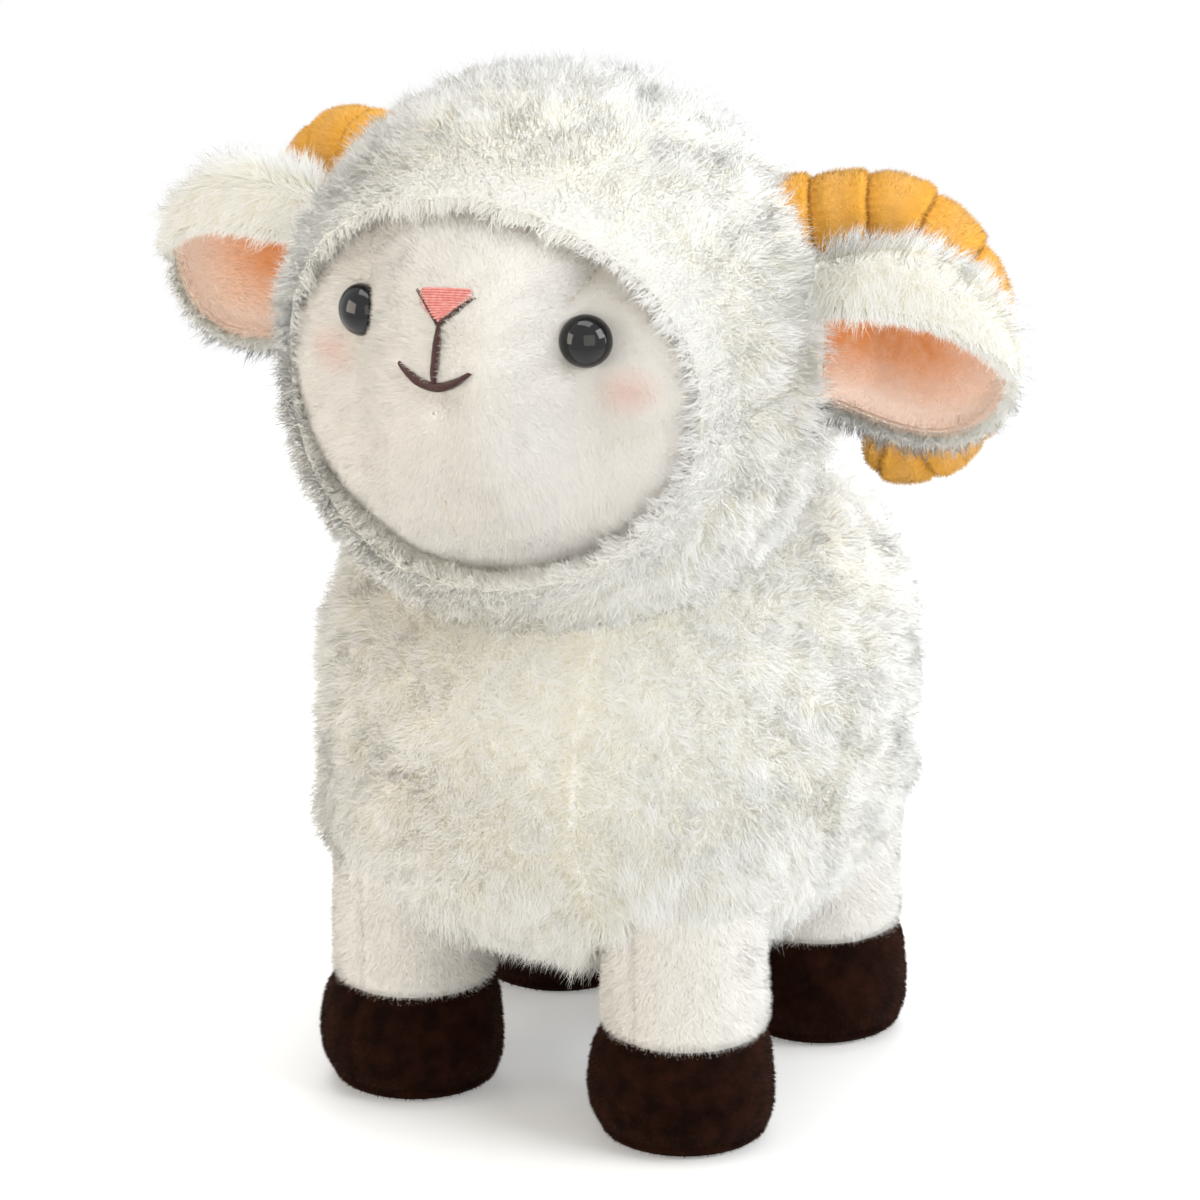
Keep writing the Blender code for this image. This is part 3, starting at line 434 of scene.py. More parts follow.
# Materials
class Graph:
    """The node tree of a material or world, and short ways to add to it."""

    def __init__(self, owner, output="ShaderNodeOutputMaterial"):
        owner.use_nodes = True
        self.tree = owner.node_tree
        self.tree.nodes.clear()
        self.output = self.node(output)

    def node(self, kind, inputs=None, **settings):
        """A new node. Each input is a socket to link or a plain value."""
        node = self.tree.nodes.new(kind)
        for name, value in settings.items():
            setattr(node, name, value)
        for key, value in (inputs or {}).items():
            socket = node.inputs[key]
            if isinstance(value, bpy.types.NodeSocket):
                self.tree.links.new(value, socket)
            else:
                socket.default_value = (*value, 1) if socket.type == "RGBA" else value
        return node

    def show(self, shader):
        """Takes a shader as the result."""
        self.tree.links.new(shader, self.output.inputs[0])

    def places(self):
        """Where on the piece, in metres."""
        return self.node("ShaderNodeTexCoord").outputs["Object"]

    def map_values(self):
        """The two values of the piece's map."""
        uv = self.node("ShaderNodeUVMap", uv_map="OFBake").outputs[0]
        return self.node("ShaderNodeSeparateXYZ", {0: uv}).outputs

    def math(self, operation, first, second=0.0):
        return self.node("ShaderNodeMath", {0: first, 1: second}, operation=operation).outputs[0]

    def vector(self, operation, first, second=(0, 0, 0)):
        return self.node("ShaderNodeVectorMath", {0: first, 1: second}, operation=operation).outputs

    def noise(self, scale, detail=3.0):
        inputs = {"Vector": self.places(), "Scale": scale, "Detail": detail}
        return self.node("ShaderNodeTexNoise", inputs).outputs[0]

    def stretch(self, value, low, high, start=0.0, end=1.0):
        """A value stretched from one range to another."""
        return self.node("ShaderNodeMapRange", {0: value, 1: low, 2: high, 3: start, 4: end}).outputs[0]

    def mix(self, share, first, second):
        """Between two colours."""
        return self.node("ShaderNodeMix", {0: share, 6: first, 7: second}, data_type="RGBA").outputs[2]

    def patches(self, first, second, scale, low, high, most=1.0, detail=3.0):
        """The first colour with patches of the second."""
        return self.mix(self.stretch(self.noise(scale, detail), low, high, 0.0, most), first, second)

    def ramp(self, source, stops):
        """A colour ramp over a value."""
        node = self.node("ShaderNodeValToRGB", {0: source})
        band = node.color_ramp
        while len(band.elements) < len(stops):
            band.elements.new(0.5)
        for element, (place, colour) in zip(band.elements, stops):
            element.position = place
            element.color = (*colour, 1)
        return node.outputs[0]

    def bump(self, height, strength, distance):
        inputs = {"Height": height, "Strength": strength, "Distance": distance}
        return self.node("ShaderNodeBump", inputs).outputs[0]

    def pile_normal(self):
        """The direction that the cover faces below each strand, so that a strand is lit like its cover."""
        lay = self.node("ShaderNodeAttribute", attribute_name="pile_up").outputs["Vector"]
        turn = {"vector_type": "NORMAL", "convert_from": "OBJECT", "convert_to": "WORLD"}
        return self.node("ShaderNodeVectorTransform", {0: lay}, **turn).outputs[0]

    def surface(self, **inputs):
        """The main shader, its inputs named with _ for spaces."""
        named = {name.replace("_", " "): value for name, value in inputs.items()}
        node = self.node("ShaderNodeBsdfPrincipled", named)
        self.show(node.outputs[0])
        return node

    def cloth(self, colour, roughness, sheen, gloss, normal):
        """Cloth or pile: a rough surface with a soft sheen."""
        return self.surface(Base_Color=colour, Roughness=roughness, Specular_IOR_Level=gloss,
                            Sheen_Weight=sheen, Sheen_Roughness=0.5, Normal=normal)

    def seen_rays(self):
        """1 for what the camera sees straight, in gloss or through glass, and 0 for light on the object."""
        path = self.node("ShaderNodeLightPath").outputs
        seen = self.math("MAXIMUM", path["Is Camera Ray"], path["Is Glossy Ray"])
        return self.math("MAXIMUM", seen, path["Is Transmission Ray"])

    def either(self, share, first, second):
        """Between two shaders."""
        return self.node("ShaderNodeMixShader", {0: share, 1: first, 2: second}).outputs[0]


CLOTH_GLOSS = 0.15


def new_graph(name):
    """A new material and its node tree."""
    material = bpy.data.materials.new(name)
    return material, Graph(material)


def long_pile_material():
    """Long pile: yellowish at its roots and white at its tips, the yellowish roots a painted shade for the
    depth of the pile, each lock a little different.
    """
    material, graph = new_graph("long_pile")
    lock, along, _ = graph.map_values()
    colour = graph.ramp(along, ((0.0, PAINTED_SHADE_AND_THREAD_BEIGE), (0.25, FUR_CREAM), (0.60, FUR_WHITE)))
    colour = graph.mix(graph.stretch(lock, 0.55, 1.0, 0.0, 0.16), colour, FUR_CREAM)
    graph.cloth(colour, graph.stretch(lock, 0.0, 1.0, 0.75, 0.95), 0.10, 0.0, graph.pile_normal())
    return material


def ground_material():
    """The woven backing under the long pile."""
    material, graph = new_graph("pile_ground")
    colour = graph.patches(FUR_CREAM, FUR_WHITE, 260.0, 0.3, 0.7)
    graph.cloth(colour, 0.95, 0.1, CLOTH_GLOSS, graph.bump(graph.noise(1500.0), 0.6, 0.0006))
    return material


def fabric(name, colour_of, weave, roughness, sheen, dents, glosses=(CLOTH_GLOSS, 0.0)):
    """The cloth and the pile of one short-pile fabric, which share their colour."""
    made = []
    for form, gloss in zip(("cloth", "pile"), glosses):
        material, graph = new_graph(f"{name}_{form}")
        fine = graph.noise(weave)
        rough = graph.stretch(fine, 0.3, 0.7, *roughness) if isinstance(roughness, tuple) else roughness
        normal = graph.pile_normal() if form == "pile" else graph.bump(fine, *dents)
        surface = graph.cloth(colour_of(graph), rough, sheen, gloss, normal)
        if name == "hoof":
            surface.inputs["Sheen Tint"].default_value = (*HOOF_SHEEN, 1)
        made.append(material)
    return made


def face_colour(graph):
    """Cream with a blush below each eye."""
    colour = graph.patches(FACE_CREAM, FACE_SHADE, 130.0, 0.35, 0.75, 0.35)
    across, depth, height = BLUSH_PLACE
    for side in HANDS:
        away = graph.vector("SUBTRACT", graph.places(), (side * across, depth, height))[0]
        flat = graph.vector("MULTIPLY", away, (1.0, 0.2, 1.25))[0]
        share = graph.stretch(graph.vector("LENGTH", flat)["Value"], 0.0085, 0.0010, 0.0, 0.62)
        colour = graph.mix(share, colour, BLUSH_PINK)
    return colour


def leg_colour(graph):
    """Cream."""
    return graph.patches(FACE_CREAM, FUR_CREAM, 110.0, 0.35, 0.75, 0.3)


def hoof_colour(graph):
    """Dark brown."""
    return graph.patches(HOOF_DARK, HOOF_LIGHT, 190.0, 0.35, 0.7, detail=4.0)


def horn_colour(graph):
    """Tan, with painted shade in a dark line along each tuck. The map's second value counts the tucks."""
    phase = graph.math("FRACT", graph.math("MULTIPLY", graph.map_values()[1], float(HORN_RIDGES)))
    stops = ((0.0, HORN_TUCK_SHADE), (0.07, HORN_TAN), (0.5, HORN_LIGHT), (0.9, HORN_TAN), (0.985, HORN_TAN),
             (1.0, HORN_TUCK_SHADE))
    return graph.patches(graph.ramp(phase, stops), HORN_LIGHT, 700.0, 0.4, 0.75, 0.55, 4.0)


def lining_colour(graph):
    """Pink, deep orange in the fold under the upper lip, partly the lining's own tone and partly painted
    shade of the fold. The map runs along the ear and round its cup.
    """
    along, around, _ = graph.map_values()
    stops = ((0.0, EAR_PALE), (0.16, EAR_PALE), (0.34, EAR_FOLD_ORANGE_AND_SHADE), (0.90, EAR_FOLD_ORANGE_AND_SHADE), (1.0, EAR_PALE))
    colour = graph.mix(graph.stretch(along, 0.52, 0.92), graph.ramp(around, stops), EAR_PALE)
    return graph.patches(colour, FACE_CREAM, 400.0, 0.4, 0.8, 0.2)


def thread_material(name, dark, light, roughness):
    """Embroidery thread with a twist."""
    material, graph = new_graph(name)
    colour = graph.patches(dark, light, 1200.0, 0.35, 0.65, detail=2.0)
    graph.cloth(colour, roughness, 0.2, 0.5, graph.bump(graph.noise(4000.0, 2.0), 0.4, 0.0002))
    return material


def eye_material():
    """Polished black plastic with the faintest orange-peel."""
    material, graph = new_graph("eye_gloss")
    peel = graph.noise(300.0, 2.0)
    rough = graph.stretch(peel, 0.3, 0.7, 0.04, 0.09)
    graph.surface(Base_Color=EYE_BLACK, Roughness=rough, Specular_IOR_Level=0.35, Coat_Weight=0.25,
                  Coat_Roughness=0.03, Normal=graph.bump(peel, 0.03, 0.0002))
    return material


PILE = long_pile_material()
GROUND = ground_material()
FACE_CLOTH, FACE_PILE = fabric("face", face_colour, 1800.0, (0.8, 0.98), 0.10, (0.35, 0.0004))
LEG_CLOTH, LEG_PILE = fabric("leg", leg_colour, 1700.0, (0.8, 0.98), 0.10, (0.35, 0.0004))
HOOF_CLOTH, HOOF_PILE = fabric("hoof", hoof_colour, 2200.0, (0.7, 0.95), 0.05, (0.5, 0.0004), (0.05, 0.05))
HORN_CLOTH, HORN_PILE = fabric("horn", horn_colour, 2000.0, (0.75, 0.95), 0.08, (0.5, 0.0005))
EAR_CLOTH, EAR_PILE = fabric("ear", lining_colour, 1800.0, 0.9, 0.15, (0.4, 0.0004))
NOSE_THREAD = thread_material("nose_thread", NOSE_PINK, NOSE_LIGHT, 0.45)
DARK_THREAD = thread_material("dark_thread", THREAD_DARK, THREAD_LIGHT, 0.55)
SEAM_THREAD = thread_material("seam_thread", SEAM_TAN, PAINTED_SHADE_AND_THREAD_BEIGE, 0.8)
EYE_GLOSS = eye_material()


# Torso. The pile parts along a seam on the chest, this far to the sheep's left
CHEST_SEAM, PARTING_WIDTH = 0.026, 0.0045


def in_body_rooms(points):
    """True inside the room of the head, the tail or the legs."""
    clearance, spread, tail_room = 0.0006, 0.12, 0.0072
    inside = np.linalg.norm(points - HEAD_CENTRE, axis=1) < HEAD_ROOM
    inside |= np.linalg.norm(points - TAIL_PIVOT, axis=1) < tail_room
    for hip in HIPS.values():
        away = points - hip
        level = np.hypot(away[:, 0], away[:, 1])
        low = away[:, 2] <= 0
        inside |= low & (level < HIP_RADIUS + clearance - spread * away[:, 2] * low)
        inside |= np.linalg.norm(away, axis=1) < HIP_RADIUS + clearance
    return inside


def keep_off_neighbours(points):
    """Moves points of the torso's pile out of the head and the legs."""
    leg_room, above = HIP_RADIUS + 0.0015, 0.004
    away = points - HEAD_CENTRE
    far = np.linalg.norm(away, axis=1, keepdims=True)
    points = np.where(far < HEAD_ROOM, HEAD_CENTRE + away / far * HEAD_ROOM, points)
    for hip in HIPS.values():
        away = points - hip
        level = np.hypot(away[:, 0], away[:, 1])
        near = (level < leg_room) & (away[:, 2] < above)
        grow = np.where(near, leg_room / np.maximum(level, 1e-6), 1)
        points = np.stack([hip[0] + away[:, 0] * grow, hip[1] + away[:, 1] * grow, points[:, 2]], 1)
    return points


def build_torso():
    """The long-pile cover of the torso."""
    ways, quads = cube_ball(104)
    reach = rounded_reach(ways, BODY_SIZES - PILE_DEPTH, BODY_FULLNESS)
    skin = BODY_CENTRE + ways * reach[:, None]
    tufts = Tufts(TUFT_GAP, 4)
    relief = 0.0009 * (tufts(skin) - 0.7)
    reach += 0.0006 * Ripple(0.034, 3)(skin) + 0.5 * relief
    reach, cut = dented(BODY_CENTRE, ways, reach, in_body_rooms)
    skin = BODY_CENTRE + ways * reach[:, None]
    ups = normals_of(skin + ways * 0.5 * relief[:, None], quads)
    base = new_object("body_cover_skin", skin, quads, GROUND, uv=0.5 + 0.45 * ways[:, [0, 2]])
    roots, normals, _ = scatter(skin, ups, quads, DENSITY["torso"], ~cut)

    seam = roots[:, 0] - CHEST_SEAM
    front = eased(-roots[:, 1], 0.03, 0.06) * eased(roots[:, 2], 0.045, 0.065)
    parting = front * np.exp(-((seam / PARTING_WIDTH) ** 2))
    aims = normals + 0.50 * swirled(roots, SWIRL, 11) - np.array((0, 0, 0.30))
    aims[:, 0] += np.sign(seam) * parting * 0.9
    hollow = tufts.hollow(roots)
    lengths = TORSO_LENGTH * (1 - 0.35 * hollow) * (1 - 0.35 * parting)
    # Painted shade: strands in the hollows between tufts and in the chest's parting keep more of the roots'
    # beige
    painted_shade = np.clip(0.75 * hollow + 0.8 * parting, 0, 1)
    facing = lifted(0.3 * normals + 0.7 * unit((roots - BODY_CENTRE) / BODY_SIZES**2))

    # The pile droops over the tops of the legs
    gap = np.min([np.hypot(*(roots - hip)[:, :2].T) for hip in HIPS.values()], axis=0) - HIP_RADIUS
    droop = (1 - eased(gap, 0.002, 0.011)) * (1 - eased(roots[:, 2], HIP_HEIGHT, HIP_HEIGHT + 0.022))
    aims -= droop[:, None] * np.array((0, 0, 1.1))
    lengths *= 1 + 0.45 * droop
    long_pile("body_cover_pile", base, roots, facing, unit(aims), lengths, painted_shade, **LOCKS["torso"],
              guard=keep_off_neighbours, parts=5)
    declare(base, "torso", ("body_cover", "body_stuffing"))


# Head
def face_ring(away):
    """How far out from the face's middle these offsets are, 1 on the face's edge, squared."""
    return (away[:, 0] / FACE_SIZES[0]) ** 2 + (away[:, 2] / FACE_SIZES[2]) ** 2


def build_hood():
    """The long-pile hood, open at the face."""
    ways, quads = cube_ball(96)
    sizes = HEAD_SIZES - PILE_DEPTH
    skin = HEAD_CENTRE + ways * rounded_reach(ways, sizes, 2.0)[:, None]
    tufts = Tufts(TUFT_GAP, 6)
    calm = 1 - 0.75 * eased(skin[:, 2], *CROWN)
    relief = ways * (0.0008 * calm * (tufts(skin) - 0.7))[:, None]
    skin += ways * 0.0005 * Ripple(0.030, 5)(skin)[:, None] + 0.5 * relief
    behind_face = (face_ring(skin - FACE_CENTRE) < 1.02) & (skin[:, 1] < SEAM_DEPTH)
    skin[:, 1] = np.where(behind_face, SEAM_DEPTH + 0.0005, skin[:, 1])
    ups = normals_of(skin + 0.5 * relief, quads)
    base = new_object("head_cover_skin", skin, quads, GROUND, uv=0.5 + 0.45 * ways[:, [0, 2]])
    roots, normals, _ = scatter(skin, ups, quads, DENSITY["hood"], beyond_torso(skin, 0.012))
    ring = np.sqrt(face_ring(roots - FACE_CENTRE))
    free = (ring > 0.97) | (roots[:, 1] > FACE_CENTRE[1] + 0.004)
    free &= np.linalg.norm((roots - HEAD_CENTRE) / sizes, axis=1) > 0.60
    roots, normals, ring = roots[free], normals[free], ring[free]

    # On the inner wall of the opening and at its rim, the pile points forward and inward
    radial = unit(roots - HEAD_CENTRE)
    wall = 1 - eased((normals * radial).sum(1, keepdims=True), 0.45, 0.85)
    facing = lifted(normals * 0.3 * (1 - wall) + radial * (0.7 + 0.3 * wall))
    rim = eased(-roots[:, 1], 0.058, 0.070) * (1 - eased(ring, 1.05, 1.35))
    swirl = (0.45 - 0.22 * wall) * swirled(roots, SWIRL, 31)
    aims = normals * (1 - 0.4 * wall) + swirl - np.array((0, 0, 0.14))
    outward = unit((roots - FACE_CENTRE) * np.array((1, 0, 1)))
    inward = RNG.uniform(0.0, 1.0, (len(roots), 1)) ** 2 * 0.9
    aims += np.maximum(rim[:, None], wall) * (np.array((0, -0.6, 0)) - outward * inward)
    beside_ear = np.min([np.linalg.norm(roots - pivot, axis=1) for pivot in EAR_PIVOTS.values()], axis=0)
    beside_ear = 1 - eased(beside_ear, 0.010, 0.026)
    aims[:, 0] += np.sign(roots[:, 0]) * 0.8 * beside_ear
    hollow = tufts.hollow(roots)
    lengths = HOOD_LENGTH * (1 - 0.30 * hollow) * (1 - 0.10 * rim + 0.35 * beside_ear)
    # Painted shade in the hollows, less of it on the crown; the strands of the rim and the opening's inner
    # wall are painted whiter, painted light against the shade of the trough
    crown = eased(roots[:, 2], *CROWN)
    edge = np.maximum(rim * (1 - eased(ring, 1.08, 1.20)), wall[:, 0])
    painted_shade = 0.7 * hollow * (1 - 0.8 * crown) * (1 - edge) - 0.75 * edge
    long_pile("head_cover_pile", base, roots, facing, unit(aims), lengths, painted_shade, **LOCKS["hood"], parts=4)
    declare(base, "head", ("head_cover", "head_stuffing"))


def face_drop(across, up):
    """How far the face stands in front of its seam, at offsets from the face's middle."""
    x = across / FACE_SIZES[0]
    z = up / FACE_SIZES[2]
    flat = np.sqrt(np.clip(1 - x * x - z * z, 0, 1))
    slope = MUZZLE_FOOT_SHARE - MUZZLE_TOP_SHARE + 0.20
    beside = np.clip((np.abs(x) - MUZZLE_TOP_SHARE + 0.10) / slope, 0, 1)
    beside = beside**3 * (10 - 15 * beside + 6 * beside**2)
    beside *= 1 - 0.55 * eased(-z, 0.05, 0.75) - 0.35 * eased(z, 0.55, 0.95)
    return FACE_SIZES[1] * flat * (1 - CHEEK_DROP_SHARE * beside)


def face_relief(across, up):
    """Hollows at the eyes, darts, and a groove down the muzzle, pressed into the face."""
    depth = np.zeros_like(across)
    for side in HANDS:
        near = np.hypot(across - side * EYE_ACROSS, (up - EYE_UP) * 1.05)
        depth += 0.0016 * np.exp(-((near / 0.0085) ** 2))
    for (x0, z0), (x1, z1) in DARTS:
        way = np.array((x1 - x0, z1 - z0))
        share = np.clip(((across - x0) * way[0] + (up - z0) * way[1]) / (way @ way), 0, 1)
        near = np.hypot(across - x0 - share * way[0], up - z0 - share * way[1])
        deep = 1.0 if x0 > 0 else 0.45
        depth += deep * (0.0014 * np.exp(-((near / 0.0016) ** 2)) + 0.0009 * np.exp(-((near / 0.0045) ** 2)))
    groove = eased(up, -0.004, 0.004) * (1 - eased(up, 0.014, 0.020))
    return depth + 0.0006 * groove * np.exp(-((np.abs(across) / 0.0034) ** 2))


def face_point(across, up, lift=0.0):
    """Points of the finished face, and the directions that it faces there."""

    def depth(x, z):
        return face_drop(x, z) - face_relief(x, z)

    step = 0.0004
    slope_x = (depth(across + step, up) - depth(across - step, up)) / (2 * step)
    slope_z = (depth(across, up + step) - depth(across, up - step)) / (2 * step)
    ups = unit(np.stack([-slope_x, -np.ones_like(across), -slope_z], 1))
    points = np.stack([across, -depth(across, up), up], 1) + FACE_CENTRE
    return points + ups * lift, ups


def mouth_stem():
    """Offsets along the stitched line from the nose to the smile."""
    rise = np.linspace(NOSE_RISE - 0.0046, NOSE_RISE - 0.0176, 30)
    return np.zeros_like(rise), rise


def mouth_smile():
    """Offsets along the smile."""
    share = np.linspace(-1, 1, 44)
    return share * 0.0088, NOSE_RISE - 0.0178 + 0.0042 * np.abs(share) ** 1.8


def build_face():
    """The short-pile face with its darts."""
    rings, spokes = 110, 220
    turn = np.linspace(0.004, 1, rings) * pi / 2
    angle = turns(spokes)
    across = FACE_SIZES[0] * np.sin(turn)[:, None] * np.cos(angle)
    up = FACE_SIZES[2] * np.sin(turn)[:, None] * np.sin(angle)
    fade = 1 - eased(np.sin(turn), 0.93, 1.0)[:, None]
    depth = face_drop(across, up) - face_relief(across, up) * fade
    skin = np.stack([across, -depth, up], -1).reshape(-1, 3) + FACE_CENTRE
    skin[:, 1] -= 0.00025 * Ripple(0.009, 51)(skin) * fade.repeat(spokes)
    quads = sheet_quads(rings, spokes, True)
    middle = np.arange(spokes)
    cap = np.stack([middle, np.full(spokes, len(skin)), (middle + 1) % spokes], 1)
    skin = np.concatenate([skin, skin[:spokes].mean(0, keepdims=True)])
    ups = normals_of(skin, quads)
    if ups[spokes * 20, 1] > 0:
        quads = quads[:, ::-1]
        ups = -ups
    ups[-1] = (0, -1, 0)
    map_scale = 9.0
    uv = 0.5 + (skin - FACE_CENTRE)[:, [0, 2]] * map_scale
    base = new_object("face_panel_skin", skin, np.concatenate([halved(quads), cap]), FACE_CLOTH, uv=uv)

    # The pile is cleared round the eyes, the nose and the mouth
    roots, normals, _ = scatter(skin, ups, quads, DENSITY["face"])
    x, _, z = (roots - FACE_CENTRE).T
    clear = np.ones(len(roots), bool)
    for side in HANDS:
        clear &= np.hypot(x - side * EYE_ACROSS, z - EYE_UP) > EYE_CLEARING
    nose_low, nose_high = 0.0205, 0.0262
    clear &= ~((np.abs(x) < 0.0064 - (nose_high - z) * 0.9) & (z > nose_low) & (z < nose_high))
    line = np.concatenate([np.stack(mouth_stem(), 1), np.stack(mouth_smile(), 1)])
    for line_x, line_z in line[::2]:
        clear &= np.hypot(x - line_x, z - line_z) > 0.0009
    roots, normals = roots[clear], normals[clear]
    away = roots - FACE_CENTRE
    aims = normals * 0.8 + unit(away * np.array((1, 0, 1))) * 0.55 - np.array((0, 0, 0.3))
    aims += 0.16 * swirled(roots, 0.007, 52)
    uv = 0.5 + away[:, [0, 2]] * map_scale
    nap("face_panel_pile", base, FACE_PILE, roots, normals, unit(aims), uv, **NAPS["face"])
    declare(base, "head", ("face_panel",))


# Threads
def thread_piece(name, tubes, material, map_scale=20, inward=False):
    """One piece from tubes of thread, each an array of rings of points."""
    tubes = np.array(tubes)
    count, rings, sides = tubes.shape[:3]
    points = tubes.reshape(-1, 3)
    quads = sheet_quads(rings, sides, True)
    if inward:
        quads = quads[:, [0, 3, 2, 1]]
    quads = (np.arange(count)[:, None, None] * rings * sides + quads).reshape(-1, 4)
    uv = 0.1 + (points - points.min(0))[:, [0, 2]] * map_scale
    return new_object(name, points, quads, material, uv=uv)


def stitch_run(name, points, ups, radius, length, gap, material):
    """Back stitches along a line of points, each a short spindle of thread."""
    sides, rings = 8, 7
    total = running_length(points)
    count = max(1, round(total[-1] / length))
    share = np.linspace(0, 1, rings)[:, None]
    swell = radius * (1 - (2 * np.abs(share - 0.5)) ** 3.2 * 0.62)
    angle = turns(sides) + share * 1.2
    lift = radius * 0.35 * np.sin(pi * share) + np.sin(angle) * swell * 0.85
    tubes = []
    for stitch in range(count):
        low = total[-1] * (stitch + gap) / count
        high = total[-1] * (stitch + 1 - gap) / count
        start, end = along_line(low, total, points), along_line(high, total, points)
        way = unit(end - start)
        side = unit(np.cross(way, unit(along_line((low + high) / 2, total, ups))))
        up = np.cross(side, way)
        tubes.append(start + (end - start) * share[..., None] + side * (np.cos(angle) * swell)[..., None]
                     + up * lift[..., None])
    return thread_piece(name, tubes, material)


def satin_run(name, points, ups, half_width, pitch, material):
    """Satin stitch along a line: short slanting threads, side by side, over a padded ridge."""
    sides, rings = 6, 7
    total = running_length(points)
    count = max(2, round(total[-1] / pitch))
    share = np.linspace(-1, 1, rings)[:, None, None]
    corner = turns(sides)[:, None]
    thick = pitch * 0.62 * (1 - 0.5 * share**4)
    tubes = []
    for stitch in range(count):
        at = total[-1] * (stitch + 0.5) / count
        place, ahead = along_line(at, total, points), along_line(at + pitch, total, points)
        if stitch == count - 1:
            ahead = 2 * place - along_line(at - pitch, total, points)
        way = unit(ahead - place)
        up = unit(along_line(at, total, ups))
        side = unit(np.cross(way, up))
        wide = half_width * min(1.0, 0.45 + 2.2 * min(stitch + 0.5, count - stitch - 0.5) / count)
        lay = unit(side + way * 0.75)
        middle = place + lay * wide * share + up * wide * 0.75 * (1 - share * share)
        tubes.append(middle + way * thick * np.cos(corner) + up * thick * np.sin(corner))
    return thread_piece(name, tubes, material)


def nose_rows():
    """The satin threads across the nose."""
    rows, knots, sides = 13, 13, 8
    half_width, top, bottom, tilt = 0.0066, 0.0027, -0.0034, 0.0005
    spread = np.linspace(-1, 1, knots)
    rise = (0.0009 * (1 - np.abs(spread) ** 3) + 0.0002)[:, None]
    knot = np.arange(knots)
    angle = turns(sides)[:, None]
    for row in range(rows):
        share = row / (rows - 1)
        height = top + (bottom - top) * share
        half = half_width * (1 - share**1.6) ** 0.75 * (0.86 + 0.14 * min(1, row / 2)) + 0.0003
        line, ups = face_point(spread * half, NOSE_RISE + height + spread * tilt)
        along = unit(line[np.minimum(knot + 1, knots - 1)] - line[np.maximum(knot - 1, 0)])
        side = np.cross(ups, along)
        yield ((line + ups * rise)[:, None] + side[:, None] * np.cos(angle) * 0.00030
               + ups[:, None] * np.sin(angle) * 0.00034)


def build_nose():
    """Satin stitches across the nose, the dark line below it, and the mouth."""
    nose = thread_piece("nose_stitches", list(nose_rows()), NOSE_THREAD, 50, inward=True)
    declare(nose, "head", ("nose_embroidery",))
    share = np.linspace(0, 1, 30)
    corner, rise, fall = 0.0072, 0.0018, 0.0062
    across = np.concatenate([-corner + corner * share, (corner * share)[1:]])
    up = np.concatenate([rise - fall * share**1.15, (rise - fall * (1 - share) ** 1.15)[1:]])
    for name, line, lift, half_width, pitch, nodes in (
        ("nose_outline_stitches", (across, NOSE_RISE + up), 0.0003, 0.00090, 0.00032, ("nose_outline",)),
        ("mouth_stem_stitches", mouth_stem(), 0.0005, 0.00135, 0.00034, ("mouth_embroidery",)),
        ("mouth_smile_stitches", mouth_smile(), 0.0005, 0.00135, 0.00034, ()),
    ):
        piece = satin_run(name, *face_point(*line, lift), half_width, pitch, DARK_THREAD)
        declare(piece, "head", nodes)


def build_dart_seams():
    """The stitches of the darts, sunk into their folds."""
    for index, ((x0, z0), (x1, z1)) in enumerate(DARTS):
        share = np.linspace(0, 1, 20)
        line, ups = face_point(x0 + (x1 - x0) * share, z0 + (z1 - z0) * share, 0.0002)
        declare(stitch_run(f"dart_stitches_{index + 1}", line, ups, 0.00038, 0.0020, 0.16, SEAM_THREAD),
                "head")


# Eyes
def lathe(name, profile, place, axis, material, steps=64):
    """A turned form about an axis through a place. The profile is pairs of radius and height."""
    profile = np.array(profile)
    angle = turns(steps)
    side = unit(np.cross(axis, (0, 0, 1)))
    other = np.cross(axis, side)
    rim = profile[:, None, :1] * (np.cos(angle)[:, None] * side + np.sin(angle)[:, None] * other)
    points = place + rim + profile[:, None, 1:] * axis
    quads = sheet_quads(len(profile), steps, True)
    along = np.repeat(np.linspace(0, 1, len(profile)), steps)
    uv = np.stack([np.tile(angle / (2 * pi), len(profile)), along], 1)
    return new_object(name, points.reshape(-1, 3), quads, material, uv=uv)


EYE_PLACE = (EYE_ACROSS, -0.079912, 0.2000)
EYE_DOME = [(0.0060 * sin(turn) + 1e-6, 0.0009 + 0.0049 * cos(turn)) for turn in np.linspace(0, pi / 2, 22)]
SHANK_AND_WASHER = [
    (0.0058, -0.0004), (0.0020, -0.0006), (0.0020, -0.0046), (0.0062, -0.0048), (0.0062, -0.0058),
    (0.0020, -0.0060), (0.0020, -0.0118), (0.000001, -0.0120),
]


def build_eyes():
    """Glossy safety eyes: a dome with its shank and the washer that locks it."""
    for side, hand in HANDS.items():
        mirror = np.array((side, 1, 1))
        place, axis = EYE_PLACE * mirror, unit(EYE_AXIS * mirror)
        eye = lathe("eye_dome_" + hand, EYE_DOME + SHANK_AND_WASHER, place, axis, EYE_GLOSS)
        declare(eye, "head", ("eye_" + hand, "eye_washer_" + hand))


# Ears
EAR_START, EAR_LENGTH, EAR_HALF_HEIGHT = 0.0028, 0.0436, 0.0205
EAR_CUP, EAR_CUP_RUN, EAR_DROOP = 0.0095, 0.0145, 0.005
EAR_LOW, EAR_HIGH, EAR_TURN = radians(-84), radians(150), radians(8)
EAR_ROWS, EAR_COLUMNS = 54, 84
EAR_TIP, LINING_TIP = 0.9985, 0.9965
LINING_INSET = 0.03
RIM_STRANDS, RIM_TUFTS = 4200, 5200


